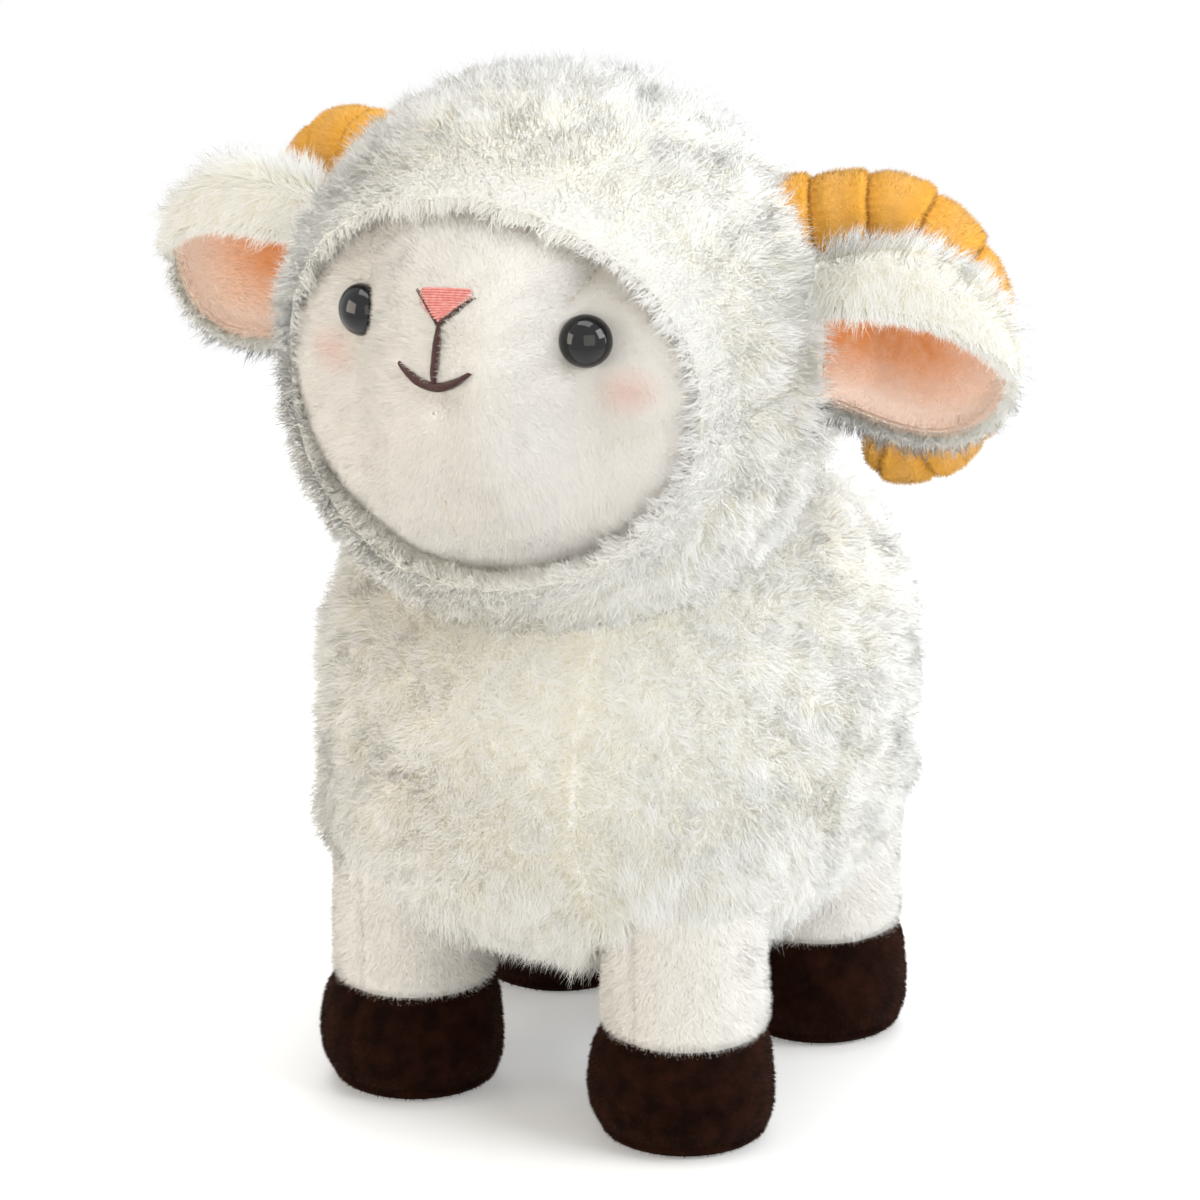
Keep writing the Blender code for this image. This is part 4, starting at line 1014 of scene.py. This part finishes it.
def ear_leaf(side, offset, first, last, inset=0.0):
    """A grid of points over one ear, moved off its middle surface, and the direction out of the cup."""

    def leaf(place, angle):
        out = EAR_START + EAR_LENGTH * place
        rounding = np.sqrt(np.clip(1 - place**6, 0, 1))
        height = EAR_HALF_HEIGHT * (0.76 + 0.24 * np.sin(pi * place)) * rounding
        cup = EAR_CUP * rounding * np.sin(pi / 2 * np.clip(out / EAR_CUP_RUN, 0.12, 1))
        return np.stack([side * out, cup * np.cos(angle), height * np.sin(angle) - EAR_DROOP * place**2], -1)

    place = first + (last - first) * np.sin(pi / 2 * np.linspace(0, 1, EAR_ROWS))
    angle = np.linspace(EAR_LOW + inset, EAR_HIGH - inset, EAR_COLUMNS)
    place, angle = np.meshgrid(place, angle, indexing="ij")
    points = leaf(place, angle)
    tiny = 0.0005
    along = leaf(place - tiny, angle) - leaf(place - 2 * tiny, angle)
    around = leaf(place, angle + tiny) - leaf(place, angle - tiny)
    out = unit(np.cross(along, around))
    behind = (out * np.stack([np.zeros_like(angle), np.cos(angle), np.sin(angle)], -1)).sum(-1, keepdims=True)
    out = out * np.sign(behind)
    points = points + out * offset
    turn = side * EAR_TURN
    spin = np.array(((cos(turn), -sin(turn), 0), (sin(turn), cos(turn), 0), (0, 0, 1)))
    return points @ spin.T + EAR_PIVOTS[side], out @ spin.T, place, angle


def ear_shell(name, side, outside, inside, place, angle, inset, material):
    """A closed wall between two grids of points. Returns it with its map."""
    points = np.concatenate([outside.reshape(-1, 3), inside.reshape(-1, 3)])
    quads = sheet_quads(EAR_ROWS, EAR_COLUMNS, False)
    count = EAR_ROWS * EAR_COLUMNS
    grid = np.arange(count).reshape(EAR_ROWS, EAR_COLUMNS)
    edge = np.concatenate([grid[0, :-1], grid[:-1, -1], grid[-1, :0:-1], grid[:0:-1, 0]])
    after = np.roll(edge, -1)
    rim = np.stack([edge, edge + count, after + count, after], 1)
    faces = np.concatenate([quads[:, ::-1], quads + count, rim])
    if side < 0:
        faces = faces[:, ::-1]
    low, high = EAR_LOW + inset, EAR_HIGH - inset
    uv = np.stack([place.ravel(), (angle.ravel() - low) / (high - low)], 1) * 0.9 + 0.05
    base = new_object(name, points, faces, material, uv=np.concatenate([uv, uv]))
    base.visible_shadow = False
    return base, uv


def ear_rim(side, count):
    """Roots along the rim of an ear, with the directions away from the ear's middle and out of its back."""
    leaf, ways, _, _ = ear_leaf(side, 0.0, 0.03, EAR_TIP)
    edge = np.concatenate([leaf[:, 0], leaf[-1], leaf[::-1, -1]])
    within = np.concatenate([leaf[:, 4], leaf[-6], leaf[::-1, -5]])
    up = np.concatenate([ways[:, 0], ways[-1], ways[::-1, -1]])
    total = running_length(edge)
    pick = RNG.random(count) * total[-1]
    roots, out, up = (along_line(pick, total, values) for values in (edge, edge - within, up))
    return roots, unit(out), unit(up)


def build_ear_back(side):
    """The fur back of an ear, with fluff along its rim."""
    name = "ear_" + HANDS[side]
    outside, ways, place, angle = ear_leaf(side, 0.0012, -0.03, EAR_TIP)
    inside = ear_leaf(side, -0.0010, -0.03, EAR_TIP)[0]
    points, outward = outside.reshape(-1, 3), ways.reshape(-1, 3)
    base, _ = ear_shell(name + "_skin", side, outside, inside, place, angle, 0.0, GROUND)
    back = sheet_quads(EAR_ROWS, EAR_COLUMNS, False)
    roots, normals, take = scatter(points, outward, back, DENSITY["ear"])
    far, high = take(place.ravel()), take(angle.ravel())
    top = eased(high, radians(20), radians(80)) * (1 - eased(high, radians(120), radians(148)))
    aims = normals + np.array((side * 0.55, 0, 0.0)) + 0.30 * swirled(roots, 0.016, 61)
    around = unit(np.stack([0 * high, -EAR_CUP * np.sin(high), EAR_HALF_HEIGHT * np.cos(high)], 1))
    to_rim = eased(high, radians(85), radians(145)) - (1 - eased(high, radians(-84), radians(-45)))
    aims += around * (1.5 * to_rim)[:, None]
    lengths = 0.0034 + 0.0036 * (1 - far) ** 0.7 + 0.0014 * top
    facing = unit(normals + np.array((0, -0.2, 0.4)))
    # The ear's pile keeps a little painted shade at its roots
    long_pile(name + "_pile", base, roots, facing, unit(aims), lengths, 0.1, **LOCKS["ear"])

    count = max(50, int(RIM_STRANDS * STRAND_SHARE))
    roots, out, up = ear_rim(side, count)
    roots = roots + up * RNG.uniform(-0.0004, 0.0012, (count, 1))
    aims = unit(out + up * RNG.uniform(-0.5, 0.9, (count, 1)))
    facing = unit(out + up + np.array((0, -0.8, 0.4)))
    # The rim fluff keeps a little painted shade at its roots
    long_pile(name + "_rim_fluff", base, roots, facing, aims, 0.0030, 0.05, **LOCKS["ear_rim"])
    declare(base, name, (name + "_outer",))


def build_ear_lining(side):
    """The pink lining of an ear, with tufts along its rim."""
    name = "ear_" + HANDS[side]
    outside = ear_leaf(side, -0.0012, -0.02, LINING_TIP, LINING_INSET)[0]
    inside, ways, place, angle = ear_leaf(side, -0.0020, -0.02, LINING_TIP, LINING_INSET)
    points, inward = inside.reshape(-1, 3), -ways.reshape(-1, 3)
    base, uv = ear_shell(name + "_lining_skin", side, outside, inside, place, angle, LINING_INSET, EAR_CLOTH)
    front = sheet_quads(EAR_ROWS, EAR_COLUMNS, False)
    roots, normals, take = scatter(points, inward, front, DENSITY["lining"])
    aims = unit(normals + np.array((side * 0.6, 0, 0)))
    facing = unit(normals + np.array((side * 0.3, -0.3, 0.6)))
    nap(name + "_lining_pile", base, EAR_PILE, roots, facing, aims, take(uv), **NAPS["lining"])

    count = max(50, int(RIM_TUFTS * STRAND_SHARE))
    roots, out, up = ear_rim(side, count)
    roots = roots - up * RNG.uniform(0.0002, 0.0020, (count, 1)) - out * RNG.uniform(0, 0.0012, (count, 1))
    aims = unit(out - up * RNG.uniform(-0.2, 1.1, (count, 1)) + RNG.normal(size=(count, 3)) * 0.3)
    uv = np.full((count, 2), 0.1) + RNG.random((count, 2)) * 0.1
    facing = unit(out + np.array((0, -1.0, 0.5)))
    nap(name + "_rim_pile", base, EAR_PILE, roots, facing, aims, uv, **NAPS["ear_rim"])
    declare(base, name, (name + "_lining",))


# Horns: the angles where a curl starts and through which it turns, its lean, its half width and half height,
# its middle, how far it drifts from root to tip, and the share and length of the straight root before it
HORN_START, HORN_TURN, HORN_LEAN = radians(98), radians(198), radians(17)
CURL_WIDTH, CURL_HEIGHT = 0.020, 0.0281
CURL_MIDDLE = (0.064, 0.026, 0.0065)
HORN_DRIFT = (0.008, 0.009)
ROOT_SHARE, ROOT_LENGTH = 0.2, 0.022


def horn_axis(side, share):
    """Points along the middle of a horn."""
    curl = np.maximum(0, (share - ROOT_SHARE) / (1 - ROOT_SHARE))
    run = ROOT_LENGTH * np.maximum(0, 1 - share / ROOT_SHARE)
    angle = HORN_START - HORN_TURN * curl
    out = CURL_WIDTH * np.cos(angle) - run * sin(HORN_START)
    x = CURL_MIDDLE[0] + HORN_DRIFT[0] * share + out * cos(HORN_LEAN)
    y = CURL_MIDDLE[1] + HORN_DRIFT[1] * share + out * sin(HORN_LEAN)
    z = CURL_MIDDLE[2] + CURL_HEIGHT * np.sin(angle) + run * cos(HORN_START)
    return HEAD_CENTRE + np.stack([side * x, y, z], -1)


def build_horn(side):
    """A curled horn with its sewn tucks and the gathers that run out from them."""
    name = "horn_" + HANDS[side]
    rows, columns = HORN_RIDGES * 22 + 1, 96
    share = np.linspace(0.0, 1.0, rows)
    line = horn_axis(side, share)
    way = unit(np.gradient(line, axis=0))
    plane = unit(np.cross(way[rows // 2 - 20], way[rows // 2 + 20]))
    out = unit(np.cross(way, plane))
    middle = line[rows // 3 : -1].mean(0)
    if ((line[rows // 2] - middle) * out[rows // 2]).sum() < 0:
        out = -out
    beside = np.cross(way, out)

    # Each ridge swells after its tuck and narrows before the next one
    phase = (share * HORN_RIDGES) % 1.0
    phase[-1] = 1.0
    rising = np.minimum(1, phase / 0.30) ** 0.55
    falling = np.clip((phase - 0.90) / 0.10, 0, 1) ** 2.2
    swell = 0.84 + 0.20 * rising - 0.16 * falling
    radius = HORN_RADIUS * (1.06 - 0.24 * share) * swell
    angle = turns(columns)
    number = np.floor(np.minimum(share * HORN_RIDGES, HORN_RIDGES - 0.001))[:, None]
    outer = eased(np.cos(angle), -0.2, 0.7)
    gathers = np.cos(27 * angle[None] + 1.7 * number) + 0.5 * np.cos(43 * angle[None] + 2.9 * number)
    fade = np.exp(-phase / 0.30) * np.minimum(1, phase / 0.05)
    sag = 0.05 * np.cos(angle)[None] * phase[:, None]
    radii = radius[:, None] * (1 + sag) + 0.00030 * gathers * fade[:, None] * outer
    ring = np.cos(angle)[None, :, None] * out[:, None] + np.sin(angle)[None, :, None] * beside[:, None]
    skin = line[:, None] + ring * radii[..., None]
    caps = []
    for step in np.linspace(0.12, 1, 12):
        rise, narrow = sin(pi / 2 * step), cos(pi / 2 * step)
        tip = line[-1] + way[-1] * radius[-1] * 0.95 * rise
        caps.append(tip + ring[-1] * radii[-1][:, None] * max(narrow, 0.002))
    skin = np.concatenate([skin, np.array(caps)])
    skin += 0.00018 * swirled(skin, 0.006, 71)
    total = skin.shape[0]
    quads = sheet_quads(total, columns, True)
    flat = skin.reshape(-1, 3)
    ups = normals_of(flat, quads)
    if ((flat[columns * 60] - line[60]) * ups[columns * 60]).sum() < 0:
        quads = quads[:, ::-1]
        ups = -ups
    along = np.concatenate([share, np.linspace(share[-1] + 0.004, share[-1] + 0.045, len(caps))])
    uv = np.stack([np.tile(np.abs(angle / pi - 1) * 0.9 + 0.05, total), np.repeat(along, columns)], 1)
    base = new_object(name + "_skin", flat, quads, HORN_CLOTH, uv=uv)
    outside = np.linalg.norm((flat - HEAD_CENTRE) / (HEAD_SIZES - 0.010), axis=1) >= 1
    roots, normals, take = scatter(flat, ups, quads, DENSITY["horn"], outside)
    forward = np.repeat(np.concatenate([way, np.repeat(way[-1:], len(caps), 0)]), columns, axis=0)
    aims = unit(normals + take(forward) * 0.5)
    nap(name + "_pile", base, HORN_PILE, roots, normals, aims, take(uv), **NAPS["horn"])
    declare(base, "head", (name + "_cover", name + "_stuffing"))


# Legs and tail. Each profile is pairs of radius and height
LEG_RADIUS, HOOF_TOP_RADIUS, HOOF_RADIUS = 0.0190, 0.0193, 0.0216
LEG_SEAM, HOOF_SEAM = 0.0011, 0.0006
NAP_HIGH = HIP_HEIGHT + 0.014
TOP_FUR_LOW, TOP_FUR_HIGH = HIP_HEIGHT - 0.009, HIP_HEIGHT + 0.017
SOLE_PROFILE = (
    (0.0001, 0.0001), (0.008, 0.00005), (0.0150, 0.0), (0.0172, 0.0002),
    (0.0187, 0.0009), (0.0194, 0.0020), (0.0192, 0.0032), (0.0180, 0.0040),
)
TAIL_PROFILE = (
    (0.00001, -0.0055), (0.0045, -0.0038), (0.0058, 0), (0.0050, 0.004), (0.0047, 0.008),
    (0.0066, 0.012), (0.0078, 0.017), (0.0070, 0.022), (0.0042, 0.0255), (0.00001, 0.0265),
)


def refined(profile, count):
    """The radii and heights of a profile at this many places."""
    fine = np.linspace(0, len(profile) - 1, count)
    return [np.interp(fine, np.arange(len(profile)), values) for values in zip(*profile)]


def tube_rows(hip, heights, radii, forward=0.0, seam=0.0):
    """Rings of points round an upright line, moved forward, with the groove of a seam down one side."""
    angle = turns(110)
    groove = seam * np.exp(-(((angle - pi * 1.42 + pi) % (2 * pi) - pi) / 0.045) ** 2)
    wide = radii[:, None] - groove[None]
    x = hip[0] + wide * np.cos(angle)
    y = hip[1] + wide * np.sin(angle) - np.reshape(forward, (-1, 1))
    return np.stack([x, y, np.repeat(heights[:, None], len(angle), 1)], -1)


def tube_piece(name, rows, material):
    """A piece from rings of points, with its points, normals, quads and map."""
    count, columns = rows.shape[:2]
    quads = sheet_quads(count, columns, True)
    flat = rows.reshape(-1, 3)
    ups = normals_of(flat, quads)
    middle = rows.mean(1).repeat(columns, 0)
    if ((flat - middle) * ups).sum() < 0:
        quads = quads[:, ::-1]
        ups = -ups
    turn = np.tile(np.arange(columns) / columns, count)
    uv = np.stack([np.abs(turn * 2 - 1) * 0.9 + 0.05, np.repeat(np.linspace(0.05, 0.95, count), columns)], 1)
    return new_object(name, flat, quads, material, uv=uv), flat, ups, quads, uv


def napped_tube(kind, name, rows, cloth, pile, droop, stir=0.0, low=-1.0, high=1.0):
    """A tube with short pile on it between two heights, and its points, normals and quads."""
    base, skin, ups, quads, uv = tube_piece(f"{kind}_{name}_skin", rows, cloth)
    keep = (skin[:, 2] > low) & (skin[:, 2] < high)
    roots, normals, take = scatter(skin, ups, quads, DENSITY[kind], keep)
    aims = normals - np.array((0, 0, droop)) + stir * swirled(roots, 0.008, 91)
    nap(f"{kind}_{name}_pile", base, pile, roots, normals, unit(aims), take(uv), **NAPS[kind])
    return base, skin, ups, quads


def build_leg(name):
    """A leg tube with fur over its top."""
    hip = HIPS[name]
    low = np.linspace(HOOF_HEIGHT - 0.0015, HIP_HEIGHT, 60)
    turn = np.linspace(0, pi / 2, 16)[1:]
    heights = np.concatenate([low, HIP_HEIGHT + HIP_RADIUS * np.sin(turn)])
    share = (low - low[0]) / (low[-1] - low[0])
    straight = LEG_RADIUS - 0.0006 * np.sin(pi * share) + 0.0004 * share
    pinch = 0.0016 * np.exp(-(((low - HOOF_HEIGHT + 0.0006) / 0.0014) ** 2))
    radii = np.concatenate([straight - pinch, (HIP_RADIUS - 0.0002) * np.maximum(np.cos(turn), 0.002)])
    rows = tube_rows(hip, heights, radii, seam=LEG_SEAM)
    bulge = 0.00045 * Ripple(0.022, 80 + sorted(HIPS).index(name))(rows)
    middle = np.stack([np.full_like(heights, hip[0]), np.full_like(heights, hip[1]), heights], -1)[:, None]
    rows = rows + unit(rows - middle) * bulge[..., None]
    leg, skin, ups, quads = napped_tube("leg", name, rows, LEG_CLOTH, LEG_PILE, 0.7, 0.3, high=NAP_HIGH)

    top = (skin[:, 2] > TOP_FUR_LOW) & (skin[:, 2] < TOP_FUR_HIGH)
    roots, normals, _ = scatter(skin, ups, quads, DENSITY["leg_top"], top)
    bare = beyond_torso(roots, 0.009)
    roots, normals = roots[bare], normals[bare]
    aims = normals - np.array((0, 0, 0.7)) + 0.5 * swirled(roots, SWIRL, 11)
    high = eased(roots[:, 2] + 0.003 * Ripple(0.012, 94)(roots), TOP_FUR_LOW, HIP_HEIGHT + 0.001)
    facing = lifted(0.25 * normals + 0.75 * unit((roots - BODY_CENTRE) / BODY_SIZES**2))
    lengths = 0.0024 + 0.0038 * high
    # The pile over the leg's top keeps painted shade at its roots
    tufts = long_pile(f"leg_{name}_top_pile", leg, roots, facing, unit(aims), lengths, 0.25, **LOCKS["torso"])
    declare(leg, "leg_" + name, (f"leg_{name}_cover", f"leg_{name}_stuffing"))


def build_hoof(name):
    """The hoof and the sole of a leg."""
    hip = HIPS[name]
    heights = np.linspace(HOOF_HEIGHT - 0.0004, 0.0036, 46)
    share = 1 - (heights - heights[-1]) / (heights[0] - heights[-1])
    curve = np.interp(share, (0, 0.10, 0.22, 0.55, 0.82, 1.0), (-0.55, 0.15, 0.60, 1.0, 0.84, 0.20))
    radii = HOOF_TOP_RADIUS + (HOOF_RADIUS - HOOF_TOP_RADIUS) * curve
    forward = 0.0019 * np.sin(pi * np.clip(share, 0, 1)) ** 0.8
    rows = tube_rows(hip, heights, radii, forward, HOOF_SEAM)
    hoof = napped_tube("hoof", name, rows, HOOF_CLOTH, HOOF_PILE, 0.8)[0]
    declare(hoof, "leg_" + name, (f"hoof_{name}_cover",))

    radii, heights = refined(SOLE_PROFILE, 36)
    rows = tube_rows(hip, heights, radii)
    sole = napped_tube("sole", name, rows, HOOF_CLOTH, HOOF_PILE, 0.0, low=0.0008)[0]
    declare(sole, "leg_" + name, ("sole_" + name,))


def build_tail():
    """A small fur tail."""
    axis = unit(np.array(TAIL_AXIS))
    radii, heights = (values[:, None, None] for values in refined(TAIL_PROFILE, 50))
    angle = turns(48)[None, :, None]
    side = np.array((1.0, 0, 0))
    rows = TAIL_PIVOT + heights * axis + radii * (np.cos(angle) * side + np.sin(angle) * np.cross(axis, side))
    base, skin, ups, quads, _ = tube_piece("tail_skin", rows, GROUND)
    keep = ((skin - TAIL_PIVOT) @ axis) > -0.004
    roots, normals, _ = scatter(skin, ups, quads, DENSITY["tail"], keep)
    aims = unit(normals + axis * 0.7)
    # The tail's pile keeps a little painted shade at its roots
    long_pile("tail_pile", base, roots, lifted(normals), aims, TAIL_LENGTH, 0.15, **LOCKS["tail"])
    declare(base, "tail", ("tail",))


build_torso()
build_hood()
build_face()
build_nose()
build_dart_seams()
build_eyes()
for ear_side in HANDS:
    build_ear_back(ear_side)
    build_ear_lining(ear_side)
    build_horn(ear_side)
for leg_name in HIPS:
    build_leg(leg_name)
    build_hoof(leg_name)
build_tail()


# Stage, light and camera
AZIMUTH, ELEVATION = radians(27.19), radians(18.63)
TARGET = Vector((-0.00552, -0.008378, 0.11329))
DISTANCE = 1.3262
HALF_FRAME_PIXELS, FOCAL_PIXELS = 600, 5577.71
CAMERA_WAY = Vector((sin(AZIMUTH) * cos(ELEVATION), -cos(AZIMUTH) * cos(ELEVATION), sin(ELEVATION)))
RIGHT = Vector((cos(AZIMUTH), sin(AZIMUTH), 0))
FORWARD = Vector((sin(AZIMUTH), -cos(AZIMUTH), 0))
UP = Vector((0, 0, 1))
ROOM_STRENGTH = 0.15
FLOOR_GLOW = 0.24

# Each lamp: metres right of, in front of and above the sheep, its width, its share of light, and its colour
LAMPS = (
    ("key", 1.15, 0.60, 0.75, 0.8, 0.54, (0.975, 0.99, 1.0)),
    ("side", 1.45, -0.10, 0.15, 1.0, 0.53, (0.97, 0.99, 1.0)),
    ("fill", -1.35, 0.45, 0.20, 1.0, 0.64, (1.0, 0.910, 0.770)),
    ("front", 0.25, 1.40, 0.30, 1.0, 0.20, (1.0, 0.940, 0.820)),
    ("top", 0.0, 0.0, 1.50, 1.2, 0.69, (0.975, 0.99, 1.0)),
    ("back", 0.0, -1.20, 0.70, 1.0, 0.46, (0.98, 0.99, 1.0)),
)


def look_from(name, data, place, way):
    """A lamp or camera at a place, looking along a direction."""
    thing = bpy.data.objects.new(name, data)
    thing.location = place
    thing.rotation_mode = "QUATERNION"
    thing.rotation_quaternion = way.to_track_quat("-Z", "Y")
    bpy.context.scene.collection.objects.link(thing)
    return thing


def build_stage():
    """A plain floor that keeps the shadow, and is plain white to the camera further out."""
    half, below = 3.0, -0.0003
    corners = np.array([(x * half, y * half, below) for x, y in ((-1, -1), (1, -1), (1, 1), (-1, 1))])
    material, graph = new_graph("floor_white")
    seen = graph.seen_rays()
    glow = graph.node("ShaderNodeEmission", {"Strength": graph.math("MULTIPLY", seen, FLOOR_GLOW)}).outputs[0]
    plain = graph.node("ShaderNodeBsdfDiffuse", {"Color": FLOOR_WHITE}).outputs[0]
    near = graph.node("ShaderNodeAddShader", {0: plain, 1: glow}).outputs[0]
    away = graph.stretch(graph.vector("LENGTH", graph.places())["Value"], 0.22, 0.62)
    white = graph.node("ShaderNodeEmission", {"Strength": 1.0}).outputs[0]
    graph.show(graph.either(graph.math("MULTIPLY", seen, away), near, white))
    new_object("floor", corners, np.array(((0, 1, 2, 3),)), material)


def build_light():
    """Soft daylight from the right and above, and a pale room all round."""
    for name, side, front, rise, size, level, colour in LAMPS:
        place = RIGHT * side + FORWARD * front + UP * rise
        light = bpy.data.lights.new(name, "AREA")
        light.shape = "SQUARE"
        light.size = size
        light.energy = level * pi**2 * place.length_squared
        light.color = colour
        look_from(name, light, TARGET + place, -place)
    world = bpy.data.worlds.new("room")
    bpy.context.scene.world = world
    graph = Graph(world, "ShaderNodeOutputWorld")
    room, behind = (graph.node("ShaderNodeBackground", {0: colour, 1: strength}).outputs[0]
                    for colour, strength in ((ROOM_WHITE, ROOM_STRENGTH), ((1, 1, 1), 1.0)))
    graph.show(graph.either(graph.seen_rays(), room, behind))


def build_camera():
    """The camera, at the photograph's angle."""
    data = bpy.data.cameras.new("photo_camera")
    data.sensor_width = 36
    data.angle = 2 * atan(HALF_FRAME_PIXELS / FOCAL_PIXELS)
    data.clip_start = 0.05
    data.clip_end = 20
    place = TARGET + CAMERA_WAY * DISTANCE
    bpy.context.scene.camera = look_from("photo_camera", data, place, -CAMERA_WAY)


build_stage()
build_light()
build_camera()
bpy.context.scene.view_settings.view_transform = "Standard"

bpy.context.view_layer.update()
